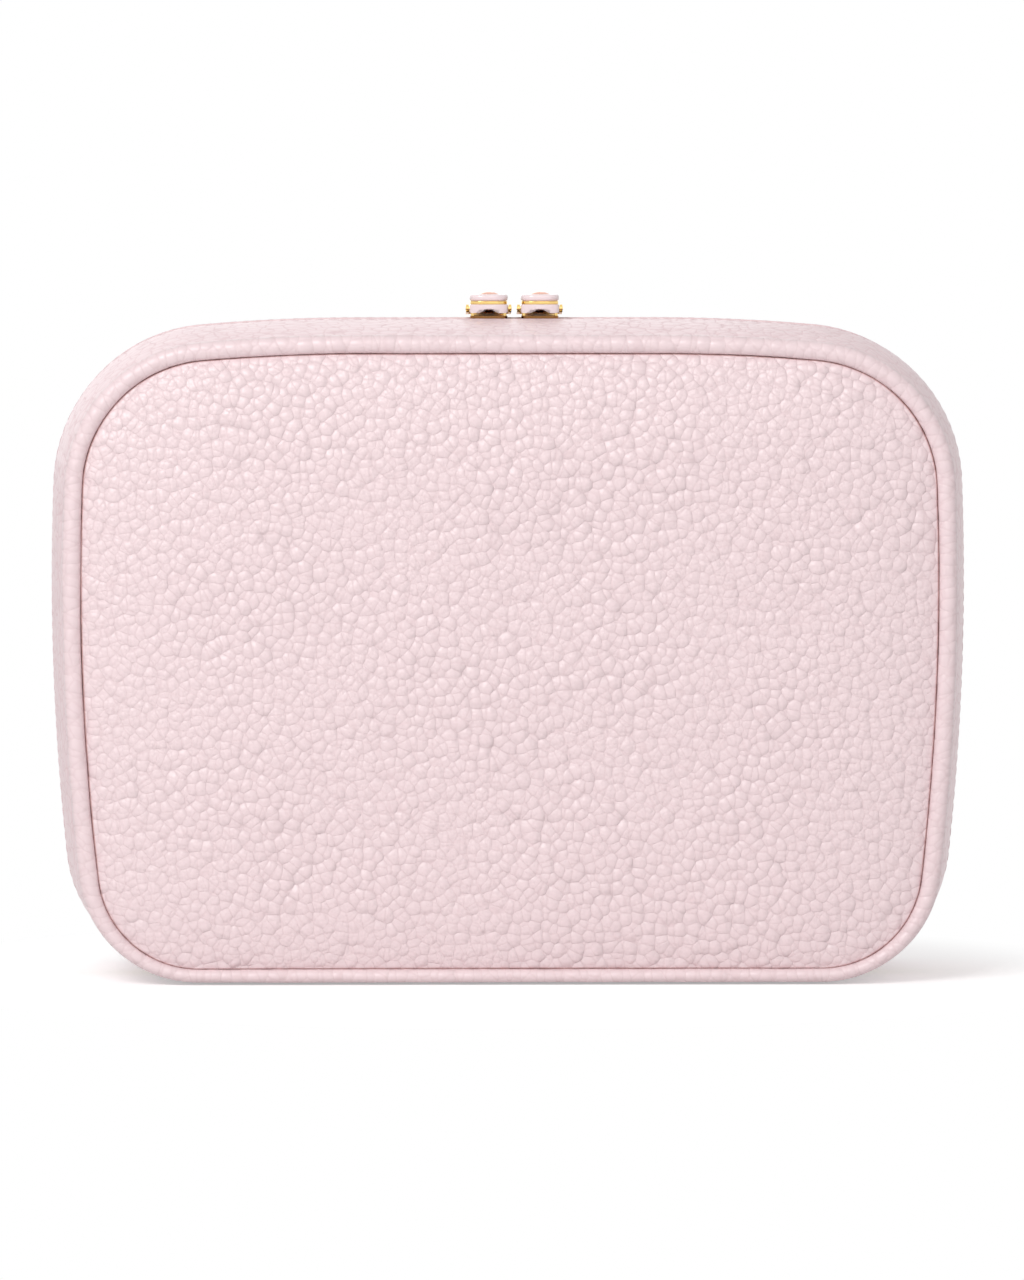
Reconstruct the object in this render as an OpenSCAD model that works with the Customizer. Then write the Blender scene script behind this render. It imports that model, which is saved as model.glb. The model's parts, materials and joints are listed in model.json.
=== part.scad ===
// Zip-round makeup train case, standing on its hinge side.
// The front faces -Y, +X is to the right, +Z is up, and the zip line is the plane y = 0.
// The back half is the base and the front half is the lid. All sizes are in millimetres.

/* [Case] */
// Width over the widest part of the gusset
case_w = 250; // [200:1:320]
// Height of the gusset's top above the surface that the case stands on
case_h = 180; // [150:1:240]
// Depth over the crowns of the two panels
case_d = 90; // [76:1:130]
// Height at which the case is widest
widest_z = 108; // [80:1:130]
// Radius of the bow of each side
side_bow_r = 700; // [500:10:1200]
// Half length of the straight stretch at the middle of the top
top_flat = 40; // [30:1:60]
// Radius of the bow between the straight stretch and the top corners
top_bow_r = 500; // [300:10:900]
// Radius of the top corners
top_corner_r = 44; // [30:1:60]
// Radius of the bottom corners
bottom_corner_r = 36; // [24:1:50]

/* [Skin] */
// Thickness of the leather
leather_t = 1.2; // [0.8:0.1:1.6]
// Diameter of the piping
piping_d = 5.3; // [4:0.1:6.4]
// How far the gusset bulges past the piping
gusset_bulge = 3.6; // [2:0.1:6]
// How far a panel's crown stands in front of its rim
panel_rise = 6.8; // [4:0.1:10]
// Gap between the floor and the underside of the piping
piping_lift = 0.4; // [0.3:0.05:1]
// How much the weight of the case flattens the piping under it
piping_squash = 1.3; // [0.5:0.1:2]

/* [Stiffening and lining] */
// Thickness of the stiffener ring behind the gusset
core_t = 2; // [1:0.1:3]
// Thickness of the board behind each panel
board_t = 2; // [1:0.1:3]
// Thickness of the lining
lining_t = 0.8; // [0.5:0.1:1.2]
// Clearance between layers that lie on each other
layer_gap = 0.2; // [0.1:0.05:0.3]
// Thickness of the gusset's filling under the case, where its weight presses it
pressed_foam = 0.4; // [0.2:0.05:0.8]

/* [Hinge] */
// Half length of the hinge strip
hinge_half = 78; // [60:1:80]
// Depth of the hinge strip under each half
strip_d = 30; // [15:1:34]
// Thickness of the hinge strip
strip_t = 1; // [0.8:0.1:1.4]

/* [Zip] */
// Half width of the slot between the leather edges
slot_half = 6.5; // [5.5:0.1:8]
// How far the tape runs under the leather
tape_tuck = 3.5; // [2:0.1:5]
// Thickness of the tape
tape_t = 0.6; // [0.4:0.1:0.8]
// Height of the row of teeth
teeth_h = 2.4; // [2:0.1:3]
// Width of each row of teeth
teeth_w = 2.5; // [2:0.1:2.8]
// Gap between the two rows of teeth
teeth_gap = 0.9; // [0.8:0.05:1.2]
// Depth of the middle of the tape below the inside of the leather
chain_drop = 0.65; // [0.6:0.05:0.9]

/* [Sliders] */
// Place of the left slider along the top
left_x = -5.2; // [-8:0.1:-4.5]
// Place of the right slider along the top
right_x = 8.8; // [8:0.1:12]
// Length of the slider's crown along the zip
crown_l = 10.6; // [9:0.1:10.8]
// Width of the crown across the zip
crown_w = 8.8; // [7.6:0.1:9.4]
// Height of the crown above its feet
crown_h = 2.35; // [2:0.05:3]
// Height of the groove band
groove_h = 0.9; // [0.6:0.05:1.2]
// Height of the top band
top_band_h = 1.85; // [1.4:0.05:2.4]
// Radius of the round cap
cap_r = 2.8; // [2:0.1:3.5]
// Rise of the round cap
cap_rise = 0.75; // [0.5:0.05:1.2]
// Thickness of the slider's plates
plate_t = 0.75; // [0.6:0.05:1]
// Running clearance round the chain
chain_clear = 0.25; // [0.2:0.05:0.3]

/* [Pulls] */
// Length of the pull from its pivot to its end
pull_l = 26; // [18:1:30]
// Width of the pull's tab
pull_w = 9; // [7:0.1:10]
// Thickness of the pull
pull_t = 1.6; // [1.2:0.1:1.8]
// Angle by which the resting pull slopes down
pull_slope = 7; // [6:0.5:7]
// Radius of the pivot stubs
pivot_r = 0.5; // [0.4:0.05:0.6]
// Radial clearance of the pull's eyes on the stubs
pivot_clear = 0.05; // [0.02:0.01:0.08]

/* [Inside] */
// Height of the middle of the long divider
shelf_z = 92; // [70:1:110]
// Thickness of the dividers
divider_t = 5; // [3:0.1:8]
// Distance of each upper divider from the middle
upper_divider_x = 38; // [25:1:60]
// Gap between the dividers' free edges and the zip plane
divider_drop = 3; // [2:0.5:12]
// Thickness of the hook strips at the dividers' ends
hook_t = 1; // [0.6:0.1:1.6]
// Width of the lid's pocket
pocket_w = 190; // [120:1:196]
// Height of the lid's pocket
pocket_h = 70; // [50:1:90]
// Depth of the pocket
pocket_d = 9; // [7:0.5:12]
// Number of brush loops
loop_count = 5; // [3:1:6]
// Distance between brush loops
loop_pitch = 30; // [24:1:34]
// Inside radius of a brush loop
loop_r = 8; // [6:0.5:10]
// Height of the band that the loops are made of
loop_band_h = 22; // [14:1:30]
// Thickness of the pocket's cloth and of the band
cloth_t = 1; // [0.8:0.1:1.4]

/* [Hidden] */
$fn = 48;

pink = [0.93, 0.85, 0.86];
cloth = [0.86, 0.74, 0.72];
foam = [0.94, 0.92, 0.86];
board = [0.55, 0.5, 0.46];
gold = [0.85, 0.66, 0.36];
rose_gold = [0.82, 0.55, 0.48];
enamel = [0.95, 0.87, 0.88];

// The number of steps in each stretch of the outline.
corner_steps = 9;
side_steps = 8;
bow_steps = 4;
// Fractions of the outline at which a panel's surface has its rings, from the crown to the rim.
panel_rings = [0.25, 0.5, 0.72, 0.87, 0.95, 0.99, 1];
piping_sides = 8;
gusset_steps = 5;
// The power that shapes the gusset's bulge and the power of the panel's crown.
bulge_power = 2.2;
crown_power = 4;

piping_r = piping_d / 2;
// The rim lies where the panel's skin, the piping and the gusset are sewn together.
rim_y = case_d / 2 - panel_rise;
piping_y = rim_y + 1.6;
piping_in = gusset_bulge + piping_r;
board_y = min(piping_y - piping_r - layer_gap, rim_y - leather_t - layer_gap / 4);
gusset_edge_y = board_y;
gusset_edge_in = gusset_bulge + 0.8;
gusset_floor = strip_t + layer_gap;
// The layers sit this much nearer the case's underside than its sides, where its weight presses them.
floor_press = piping_in - piping_r - piping_lift;
core_in = gusset_edge_in + leather_t + layer_gap;
lining_in = core_in + core_t;
inside_in = lining_in + lining_t;
inside_y = board_y - board_t - lining_t;
panel_in = piping_in + piping_r + 0.1;
chain_depth = leather_t + chain_drop;
tape_in = chain_depth - tape_t / 2;
// The filling and the stiffener start behind the edge of the tape.
tuck_y = slot_half + tape_tuck + layer_gap;
teeth_in = chain_depth - teeth_h / 2;
teeth_y = teeth_gap / 2;
tape_y = teeth_y + teeth_w;
zip_end_x = hinge_half + 4.3;

side_c = [case_w / 2 - side_bow_r, widest_z];
bow_c = [top_flat, case_h - top_bow_r];

plate_top = case_h - chain_depth + teeth_h / 2 + chain_clear + plate_t;
plate_bottom = case_h - chain_depth - teeth_h / 2 - chain_clear - plate_t;
foot_h = 0.85;
crown_z = plate_top + foot_h;
groove_z = crown_z + crown_h;
top_band_z = groove_z + groove_h;
cap_z = top_band_z + top_band_h;
arch_half = 4.05;
arch_rise = 0.7;
rivet_head_r = 2.8;
rivet_head_h = 1;
rivet_r = 0.8;
pivot_z = crown_z + 1.2;
eye_r = 1.07;
arm_t = 0.75;
arm_gap = 0.15;
fork_reach = 6.8;
bridge_l = 1.6;
inlay_depth = 0.4;

// Points of an arc from angle a0 to a1 in n steps.
function arc_points(c, r, a0, a1, n) =
    [for (i = [0:n]) let (a = a0 + (a1 - a0) * i / n) c + r * [cos(a), sin(a)]];

// Centre of the top corner's arc, which touches the side's bow and the top's bow from inside.
function top_corner_c() =
    let (
        ra = side_bow_r - top_corner_r,
        rb = top_bow_r - top_corner_r,
        d = norm(bow_c - side_c),
        u = (bow_c - side_c) / d,
        along = (ra * ra - rb * rb + d * d) / (2 * d),
        across = sqrt(ra * ra - along * along)
    )
    side_c + along * u + across * [-u[1], u[0]];

function angle_of(v) = atan2(v[1], v[0]);

// How far out the side of the case reaches at height z, with the layer `in` millimetres inside it.
function side_x(z, in) = side_c[0] + sqrt(pow(side_bow_r - in, 2) - pow(z - side_c[1], 2));

// The right half of the case's outline, from the underside to the top. It lies `in` millimetres
// inside the widest outline at the sides and top, and `floor_z` above the ground underneath.
function half_outline(in, floor_z) =
    let (
        corner_z = floor_z - in + bottom_corner_r,
        reach = side_bow_r - bottom_corner_r,
        bottom_c = [side_c[0] + sqrt(reach * reach - pow(corner_z - side_c[1], 2)), corner_z],
        top_c = top_corner_c(),
        low = angle_of(bottom_c - side_c),
        high = angle_of(top_c - side_c),
        turn = angle_of(top_c - bow_c),
        side = arc_points(side_c, side_bow_r - in, low, high, side_steps),
        bow = arc_points(bow_c, top_bow_r - in, turn, 90, bow_steps)
    )
    concat(
        arc_points(bottom_c, bottom_corner_r - in, -90, low, corner_steps),
        [for (i = [1:side_steps - 1]) side[i]],
        arc_points(top_c, top_corner_r - in, high, turn, corner_steps),
        [for (i = [1:bow_steps]) bow[i]]
    );

function outline(in, floor_z) =
    let (right = half_outline(in, floor_z), last = len(right) - 1)
    concat(right, [for (i = [0:last]) [-right[last - i][0], right[last - i][1]]]);

// The floor height that goes with a layer, away from the middle of the gusset.
function pressed(in) = in - floor_press;

// The same for the layers inside the gusset's filling.
function raised(in) = pressed(in) + pressed_foam;

// The same for the panel and its filling, which come down with the flattened piping.
function sunk(in) = pressed(in) - piping_squash;

// A solid between the planes y0 and y1 with the case's outline.
module slab(in, floor_z, y0, y1) {
    translate([0, y1, 0])
        rotate([90, 0, 0])
            linear_extrude(y1 - y0)
                polygon(outline(in, floor_z));
}

// A wall that follows the outline, t thick, between the planes y0 and y1.
module wall(in, floor_z, t, y0, y1) {
    translate([0, y1, 0])
        rotate([90, 0, 0])
            linear_extrude(y1 - y0)
                difference() {
                    polygon(outline(in, floor_z));
                    polygon(outline(in + t, floor_z + t));
                }
}

function band_faces(a, b, n) =
    [for (j = [0:n - 1]) let (k = (j + 1) % n)
        each [[a + j, b + j, b + k], [a + j, b + k, a + k]]];

// A closed ring whose section is a loop of stations, each [in, floor_z, y].
module ring_sweep(stations) {
    n = len(outline(0, 0));
    m = len(stations);
    polyhedron(
        points = [for (s = stations) for (p = outline(s[0], s[1])) [p[0], s[2], p[1]]],
        faces = [for (i = [0:m - 1]) each band_faces(i * n, ((i + 1) % m) * n, n)]
    );
}

// Height of a panel's surface above its rim, at a fraction s of the way from crown to rim.
function crown_height(s) = panel_rise * sqrt(1 - pow(s, crown_power));

// A closed cushion shape from stations [s, y], in order from the crown over the rim to the underside.
module cushion(in, stations, y_start, y_end) {
    base = outline(in, sunk(in));
    n = len(base);
    m = len(stations);
    mid_z = (case_h + sunk(in) - in) / 2;
    last = m * n + 1;
    polyhedron(
        points = concat(
            [for (s = stations) for (p = base) [s[0] * p[0], s[1], mid_z + s[0] * (p[1] - mid_z)]],
            [[0, y_start, mid_z], [0, y_end, mid_z]]
        ),
        faces = concat(
            [for (i = [0:m - 2]) each band_faces(i * n, (i + 1) * n, n)],
            [for (j = [0:n - 1]) [last - 1, j, (j + 1) % n]],
            [for (j = [0:n - 1]) [last, (m - 1) * n + (j + 1) % n, (m - 1) * n + j]]
        )
    );
}

function reversed(list) = [for (i = [len(list) - 1:-1:0]) list[i]];

// Each half is drawn at the back (+Y) and mirrored for the front.
module to_front() {
    mirror([0, 1, 0]) children();
}

module panel_skin() {
    outer = [for (s = panel_rings) [s, rim_y + crown_height(s)]];
    inner = [for (s = reversed(panel_rings)) [s, rim_y + crown_height(s) - leather_t]];
    top = rim_y + panel_rise;
    color(pink) cushion(panel_in, concat(outer, inner), top, top - leather_t);
}

module panel_pad() {
    drop = leather_t + layer_gap;
    under = board_y + layer_gap;
    rings = [for (s = panel_rings) if (rim_y + crown_height(s) - drop > under) s];
    outer = [for (s = rings) [s, rim_y + crown_height(s) - drop]];
    edge = rings[len(rings) - 1];
    color(foam)
        cushion(panel_in, concat(outer, [[edge, under]]), rim_y + panel_rise - drop, under);
}

module panel_board() {
    color(board) slab(core_in, raised(core_in), board_y - board_t, board_y);
}

module piping() {
    color(pink)
        ring_sweep([for (i = [0:piping_sides - 1])
            let (
                a = 360 * (i + 0.5) / piping_sides,
                r = piping_r / cos(180 / piping_sides) * 0.98,
                floor_r = piping_r - piping_squash / 2
            )
            [piping_in + r * cos(a), piping_lift + floor_r + floor_r * cos(a), piping_y + r * sin(a)]]);
}

// Inset and floor height of the gusset's outer face at distance y from the zip plane.
function gusset_at(y) =
    let (f = pow(y / gusset_edge_y, bulge_power))
    [gusset_edge_in * f, gusset_floor + (pressed(gusset_edge_in) - gusset_floor) * f, y];

module gusset() {
    ys = [for (i = [0:gusset_steps]) slot_half + (gusset_edge_y - slot_half) * i / gusset_steps];
    outer = [for (y = ys) gusset_at(y)];
    inner = [for (y = reversed(ys)) gusset_at(y) + [leather_t, leather_t, 0]];
    color(pink) ring_sweep(concat(outer, inner));
}

// Soft filling between the gusset's leather and its stiffener.
module gusset_foam() {
    t = leather_t + layer_gap;
    end_y = board_y - 2 * layer_gap;
    ys = [for (i = [0:gusset_steps]) tuck_y + (end_y - tuck_y) * i / gusset_steps];
    inside = [core_in - layer_gap / 4, raised(core_in) - layer_gap / 4];
    color(foam)
        ring_sweep(concat(
            [for (y = ys) gusset_at(y) + [t, t, 0]],
            [for (y = [end_y, tuck_y]) [inside[0], inside[1], y]]
        ));
}

module core() {
    color(board) wall(core_in, raised(core_in), core_t, tuck_y, board_y - board_t);
}

module lining() {
    color(cloth)
        difference() {
            slab(lining_in, raised(lining_in), slot_half, board_y - board_t);
            slab(inside_in, raised(inside_in), slot_half - 1, inside_y);
        }
}

// Leaves out the stretch of the zip that the hinge takes.
module without_hinge(end_x) {
    difference() {
        children();
        translate([-end_x, -1, -1]) cube([2 * end_x, 2 * slot_half + 20, 12]);
    }
}

module zip_tape() {
    color(cloth)
        without_hinge(hinge_half + 0.5)
            wall(tape_in, gusset_floor + tape_in, tape_t, tape_y, slot_half + tape_tuck);
}

module zip_teeth() {
    color(gold)
        without_hinge(zip_end_x)
            wall(teeth_in, gusset_floor + teeth_in, teeth_h, teeth_y, teeth_y + teeth_w);
}

module hinge_strip() {
    color(pink) translate([-hinge_half, 0, 0]) cube([2 * hinge_half, strip_d, strip_t]);
}

module hinge_lining() {
    z = raised(lining_in);
    color(cloth) translate([-hinge_half, 0, z]) cube([2 * hinge_half, slot_half, lining_t]);
}

// The metal stops at the two ends of the zip, clamped on the back row's tape.
module zip_stops() {
    l = 2.6;
    color(gold)
        for (side = [-1, 1])
            translate([side * (zip_end_x - 0.2 - l / 2), teeth_y + teeth_w / 2, gusset_floor + chain_depth])
                cube([l, teeth_w, teeth_h], center = true);
}

divider_y0 = divider_drop;
divider_y1 = inside_y - layer_gap - 0.1;

// A stiff padded board with a binding of the same cloth, between two opposite corners.
module padded_board(low, high) {
    color(cloth) translate(low) cube(high - low);
}

long_half = side_x(shelf_z, inside_in) - layer_gap - hook_t;
upper_z0 = shelf_z + divider_t / 2 + layer_gap + hook_t;
upper_z1 = case_h - inside_in - layer_gap - hook_t;
lower_z0 = raised(inside_in) + layer_gap + hook_t;
lower_z1 = shelf_z - divider_t / 2 - layer_gap - hook_t;

module long_divider() {
    padded_board(
        [-long_half, divider_y0, shelf_z - divider_t / 2],
        [long_half, divider_y1, shelf_z + divider_t / 2]
    );
}

module upright(x, z0, z1) {
    padded_board([x - divider_t / 2, divider_y0, z0], [x + divider_t / 2, divider_y1, z1]);
}

// Hook strips at the ends of the four dividers, which grip the lining.
module divider_hooks() {
    w = divider_t - 1;
    y0 = divider_y0 + 3;
    l = divider_y1 - y0 - 3;
    color([0.75, 0.64, 0.62]) {
        for (side = [-1, 1])
            translate([side * (long_half + hook_t / 2) - hook_t / 2, y0, shelf_z - w / 2])
                cube([hook_t, l, w]);
        for (x = [-upper_divider_x, upper_divider_x])
            for (z = [upper_z0 - hook_t, upper_z1])
                translate([x - w / 2, y0, z]) cube([w, l, hook_t]);
        for (z = [lower_z0 - hook_t, lower_z1])
            translate([-w / 2, y0, z]) cube([w, l, hook_t]);
    }
}

pocket_z = raised(inside_in) + 9;
pocket_y = inside_y - pocket_d;

// A slip pocket on the inside of the lid, closed at its sides and underneath, open at the top.
module lid_pocket() {
    color(cloth)
        difference() {
            translate([-pocket_w / 2, pocket_y, pocket_z])
                cube([pocket_w, pocket_d - 0.1, pocket_h]);
            translate([-pocket_w / 2 + cloth_t, pocket_y + cloth_t, pocket_z + cloth_t])
                cube([pocket_w - 2 * cloth_t, pocket_d, pocket_h]);
        }
}

// Elastic binding on the pocket's mouth.
module pocket_binding() {
    h = 4;
    t = cloth_t + 1.2;
    color([0.8, 0.66, 0.64])
        translate([-pocket_w / 2, pocket_y + (cloth_t - t) / 2, pocket_z + pocket_h])
            cube([pocket_w, t, h]);
}

band_z = (pocket_z + pocket_h + case_h - inside_in) / 2 + 3;

// One elastic band sewn down between its loops, which hold brushes upright.
module brush_band() {
    first = -(loop_count - 1) / 2 * loop_pitch;
    half = -first + loop_r + 10;
    foot = inside_y - 0.1;
    color([0.8, 0.66, 0.64])
        translate([0, foot, band_z - loop_band_h / 2])
            linear_extrude(loop_band_h)
                difference() {
                    union() {
                        translate([-half, -cloth_t]) square([2 * half, cloth_t]);
                        for (i = [0:loop_count - 1])
                            translate([first + i * loop_pitch, 0])
                                intersection() {
                                    circle(loop_r + cloth_t);
                                    translate([-loop_r - 2, -loop_r - 2]) square([2 * loop_r + 4, loop_r + 2]);
                                }
                    }
                    for (i = [0:loop_count - 1])
                        translate([first + i * loop_pitch, 0]) circle(loop_r);
                }
}

// A flat shape with round corners, from squares and circles.
module rounded(l, w, r) {
    square([l - 2 * r, w], center = true);
    square([l, w - 2 * r], center = true);
    for (sx = [-1, 1])
        for (sy = [-1, 1])
            translate([sx * (l / 2 - r), sy * (w / 2 - r)]) circle(r);
}

// Two plates joined by a post between the rows of teeth, with flanges that hold the rows in.
module slider_body() {
    l = crown_l - 0.4;
    channel = 2 * (teeth_y + teeth_w + 0.3);
    w = channel + 1.8;
    h = plate_top - plate_bottom;
    chain_z = case_h - chain_depth;
    inner_h = teeth_h + 2 * chain_clear;
    post_w = teeth_gap - 0.3;
    color(gold) {
        difference() {
            translate([0, 0, plate_bottom]) linear_extrude(h) rounded(l, w, 2);
            difference() {
                translate([-l, -channel / 2, chain_z - inner_h / 2]) cube([2 * l, channel, inner_h]);
                translate([-2, -post_w / 2, chain_z - inner_h]) cube([4, post_w, 2 * inner_h]);
            }
            for (side = [-1, 1])
                translate([-l, side * w / 2 - 1.5, chain_z - tape_t / 2 - chain_clear])
                    cube([2 * l, 3, tape_t + 2 * chain_clear]);
        }
        for (sx = [-1, 1])
            for (sy = [-1, 1])
                translate([sx * 4.4, sy * 2.6, plate_top - 0.2]) cylinder(r = 0.45, h = foot_h + 0.2);
    }
}

// The bridge on the slider, with an arch through it across the zip.
module crown() {
    arch_r = (arch_half * arch_half + arch_rise * arch_rise) / (2 * arch_rise);
    color(enamel)
        difference() {
            translate([0, 0, crown_z]) linear_extrude(crown_h) rounded(crown_l, crown_w, 3);
            translate([0, 0, crown_z + arch_rise - arch_r])
                rotate([90, 0, 0]) cylinder(r = arch_r, h = 2 * crown_w, center = true, $fn = 96);
            translate([0, 0, crown_z - 1]) cylinder(r = rivet_head_r + 0.1, h = arch_rise + 1.05);
            translate([0, 0, crown_z - 1]) cylinder(r = rivet_r, h = crown_h + 2);
            for (side = [-1, 1])
                translate([side * (crown_l / 2 + 0.5), 0, pivot_z])
                    rotate([0, 90, 0]) cylinder(r = pivot_r, h = 3.4, center = true);
        }
}

module bored_band(l, w, z, h) {
    translate([0, 0, z])
        linear_extrude(h)
            difference() {
                rounded(l, w, 3);
                circle(rivet_r);
            }
}

module groove_band() {
    color(gold) bored_band(crown_l - 0.5, crown_w - 0.5, groove_z, groove_h);
}

module top_band() {
    color(enamel) bored_band(crown_l - 0.1, crown_w - 0.1, top_band_z, top_band_h);
}

// A shallow round cap, cut from a sphere.
module shallow_dome(r, h) {
    ball = (r * r + h * h) / (2 * h);
    intersection() {
        translate([0, 0, h - ball]) sphere(ball, $fn = 96);
        translate([0, 0, 0]) cylinder(r = r + 1, h = h + 1);
    }
}

module cap() {
    color(rose_gold) translate([0, 0, cap_z]) shallow_dome(cap_r, cap_rise);
}

// The rivet that joins cap, bands and crown, with its round head in the arch.
module rivet() {
    head_z = crown_z + arch_rise + 0.05;
    color(gold) {
        translate([0, 0, head_z - 0.1]) cylinder(r = rivet_r, h = cap_z - head_z + 0.1);
        translate([0, 0, head_z]) mirror([0, 0, 1]) shallow_dome(rivet_head_r, rivet_head_h);
    }
}

// Two stubs at the crown's ends, on which the pull turns.
module pivots() {
    l = 1.2 + arm_gap + arm_t + 0.1;
    color(gold)
        for (side = [-1, 1])
            translate([side * (crown_l / 2 - 1.2 + l / 2), 0, pivot_z])
                rotate([0, 90, 0]) cylinder(r = pivot_r, h = l, center = true);
}

arm_x = crown_l / 2 + arm_gap;

// Places a pull's pieces, which are drawn with the pivot at the origin and the tab towards +Y.
module at_pivot() {
    translate([0, 0, pivot_z]) rotate([-pull_slope, 0, 0]) children();
}

module tab_shape(shrink) {
    y0 = fork_reach + bridge_l - 0.2;
    w = pull_w - 2 * shrink;
    translate([0, (y0 + pull_l) / 2]) rounded(w, pull_l - y0 - 2 * shrink, w / 2 - 0.01);
}

// A fork that straddles the crown, with an eye on each stub, and a tab to hold.
module pull() {
    color(gold)
        at_pivot()
            difference() {
                union() {
                    for (side = [-1, 1])
                        translate([side * (arm_x + arm_t / 2), 0, 0]) {
                            rotate([0, 90, 0]) cylinder(r = eye_r, h = arm_t, center = true);
                            translate([-arm_t / 2, 0, -pull_t / 2])
                                cube([arm_t, fork_reach + bridge_l, pull_t]);
                        }
                    translate([-arm_x - arm_t, fork_reach, -pull_t / 2])
                        cube([2 * (arm_x + arm_t), bridge_l, pull_t]);
                    translate([0, 0, -pull_t / 2]) linear_extrude(pull_t) tab_shape(0);
                }
                rotate([0, 90, 0])
                    cylinder(r = pivot_r + pivot_clear, h = 4 * crown_l, center = true);
                translate([0, 0, pull_t / 2 - inlay_depth]) linear_extrude(1) tab_shape(1.1);
            }
}

module pull_inlay() {
    color(enamel)
        at_pivot()
            translate([0, 0, pull_t / 2 - inlay_depth]) linear_extrude(inlay_depth) tab_shape(1.1);
}

module on_left() {
    translate([left_x, 0, 0]) children();
}

module on_right() {
    translate([right_x, 0, 0]) children();
}

panel_skin();  // back_panel
panel_pad();  // back_pad
panel_board();  // back_board
piping();  // back_piping
gusset();  // back_gusset
gusset_foam();  // back_foam
core();  // back_core
lining();  // back_lining
zip_tape();  // back_zip_tape
zip_teeth();  // back_zip_teeth
hinge_strip();  // back_hinge_strip
hinge_lining();  // back_hinge_lining
to_front() panel_skin();  // front_panel
to_front() panel_pad();  // front_pad
to_front() panel_board();  // front_board
to_front() piping();  // front_piping
to_front() gusset();  // front_gusset
to_front() gusset_foam();  // front_foam
to_front() core();  // front_core
to_front() lining();  // front_lining
to_front() zip_tape();  // front_zip_tape
to_front() zip_teeth();  // front_zip_teeth
to_front() hinge_strip();  // front_hinge_strip
to_front() hinge_lining();  // front_hinge_lining
zip_stops();
long_divider();
upright(-upper_divider_x, upper_z0, upper_z1);  // left_divider
upright(upper_divider_x, upper_z0, upper_z1);  // right_divider
upright(0, lower_z0, lower_z1);  // lower_divider
divider_hooks();
to_front() lid_pocket();
to_front() pocket_binding();
to_front() brush_band();
on_left() slider_body();  // left_slider
on_left() crown();  // left_crown
on_left() groove_band();  // left_groove_band
on_left() top_band();  // left_top_band
on_left() cap();  // left_cap
on_left() rivet();  // left_rivet
on_left() pivots();  // left_pivots
on_left() pull();  // left_pull
on_left() pull_inlay();  // left_pull_inlay
on_right() slider_body();  // right_slider
on_right() crown();  // right_crown
on_right() groove_band();  // right_groove_band
on_right() top_band();  // right_top_band
on_right() cap();  // right_cap
on_right() rivet();  // right_rivet
on_right() pivots();  // right_pivots
on_right() pull();  // right_pull
on_right() pull_inlay();  // right_pull_inlay
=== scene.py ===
# %% [markdown]
# # A zip-round makeup train case
#
# The case is two padded trays of pale pink pebbled leather, joined by a leather hinge and closed by a
# zip with two small polished sliders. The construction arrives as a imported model, the frame. This
# notebook builds what you see: each soft part is a surface worked out as arrays, each metal part gets
# rounded edges, and every surface gets a material made of nodes.
#
# Everything is in metres, +Z is up and the front of the case looks along -Y.

# %% Load the frame
import json
import math

import bpy
import numpy as np
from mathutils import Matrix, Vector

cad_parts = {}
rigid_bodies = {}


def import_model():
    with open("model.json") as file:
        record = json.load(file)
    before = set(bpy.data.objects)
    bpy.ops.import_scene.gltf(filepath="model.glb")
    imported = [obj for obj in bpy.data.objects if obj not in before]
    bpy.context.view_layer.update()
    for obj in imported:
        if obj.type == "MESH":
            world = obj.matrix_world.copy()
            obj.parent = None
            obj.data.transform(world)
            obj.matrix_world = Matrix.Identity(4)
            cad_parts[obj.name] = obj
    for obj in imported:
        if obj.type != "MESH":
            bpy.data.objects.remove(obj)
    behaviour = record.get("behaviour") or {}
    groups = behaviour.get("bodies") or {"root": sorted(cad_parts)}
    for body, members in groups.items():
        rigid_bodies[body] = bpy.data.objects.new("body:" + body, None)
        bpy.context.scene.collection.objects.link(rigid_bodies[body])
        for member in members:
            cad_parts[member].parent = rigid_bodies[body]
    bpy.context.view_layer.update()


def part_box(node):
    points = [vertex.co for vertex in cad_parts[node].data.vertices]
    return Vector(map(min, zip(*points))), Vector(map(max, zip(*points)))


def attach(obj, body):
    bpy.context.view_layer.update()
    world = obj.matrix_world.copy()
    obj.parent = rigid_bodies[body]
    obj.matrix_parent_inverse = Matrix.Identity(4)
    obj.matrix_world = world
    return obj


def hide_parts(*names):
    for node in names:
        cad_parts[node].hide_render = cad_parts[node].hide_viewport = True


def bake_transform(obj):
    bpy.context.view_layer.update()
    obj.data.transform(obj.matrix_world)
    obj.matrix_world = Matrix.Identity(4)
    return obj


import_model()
MM = 0.001


# %% [markdown]
# ## Sizes
# The places of all pieces come from the boxes of the frame's nodes. The outline of the case is a
# chain of arcs that touch: a flat underside, bowed sides, a straight stretch at the middle of the top
# and four corners. Its radii are values of the design, so they are written here once.

# %% Read the sizes from the frame
def node_box(name):
    """The lowest and highest corner of a node, as arrays."""
    low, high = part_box(name)
    return np.array(low, float), np.array(high, float)


gusset_low, gusset_high = node_box("back_gusset")
piping_low, piping_high = node_box("back_piping")
panel_low, panel_high = node_box("back_panel")
lining_low, lining_high = node_box("back_lining")
tape_low, tape_high = node_box("back_zip_tape")
teeth_low, teeth_high = node_box("back_zip_teeth")

half_w = gusset_high[0]
top_z = gusset_high[2]
side_bow_r = 700 * MM
widest_z = 108 * MM
top_flat = 40 * MM
top_bow_r = 500 * MM
top_corner_r = 44 * MM
bottom_corner_r = 36 * MM
leather_t = 1.2 * MM

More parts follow.
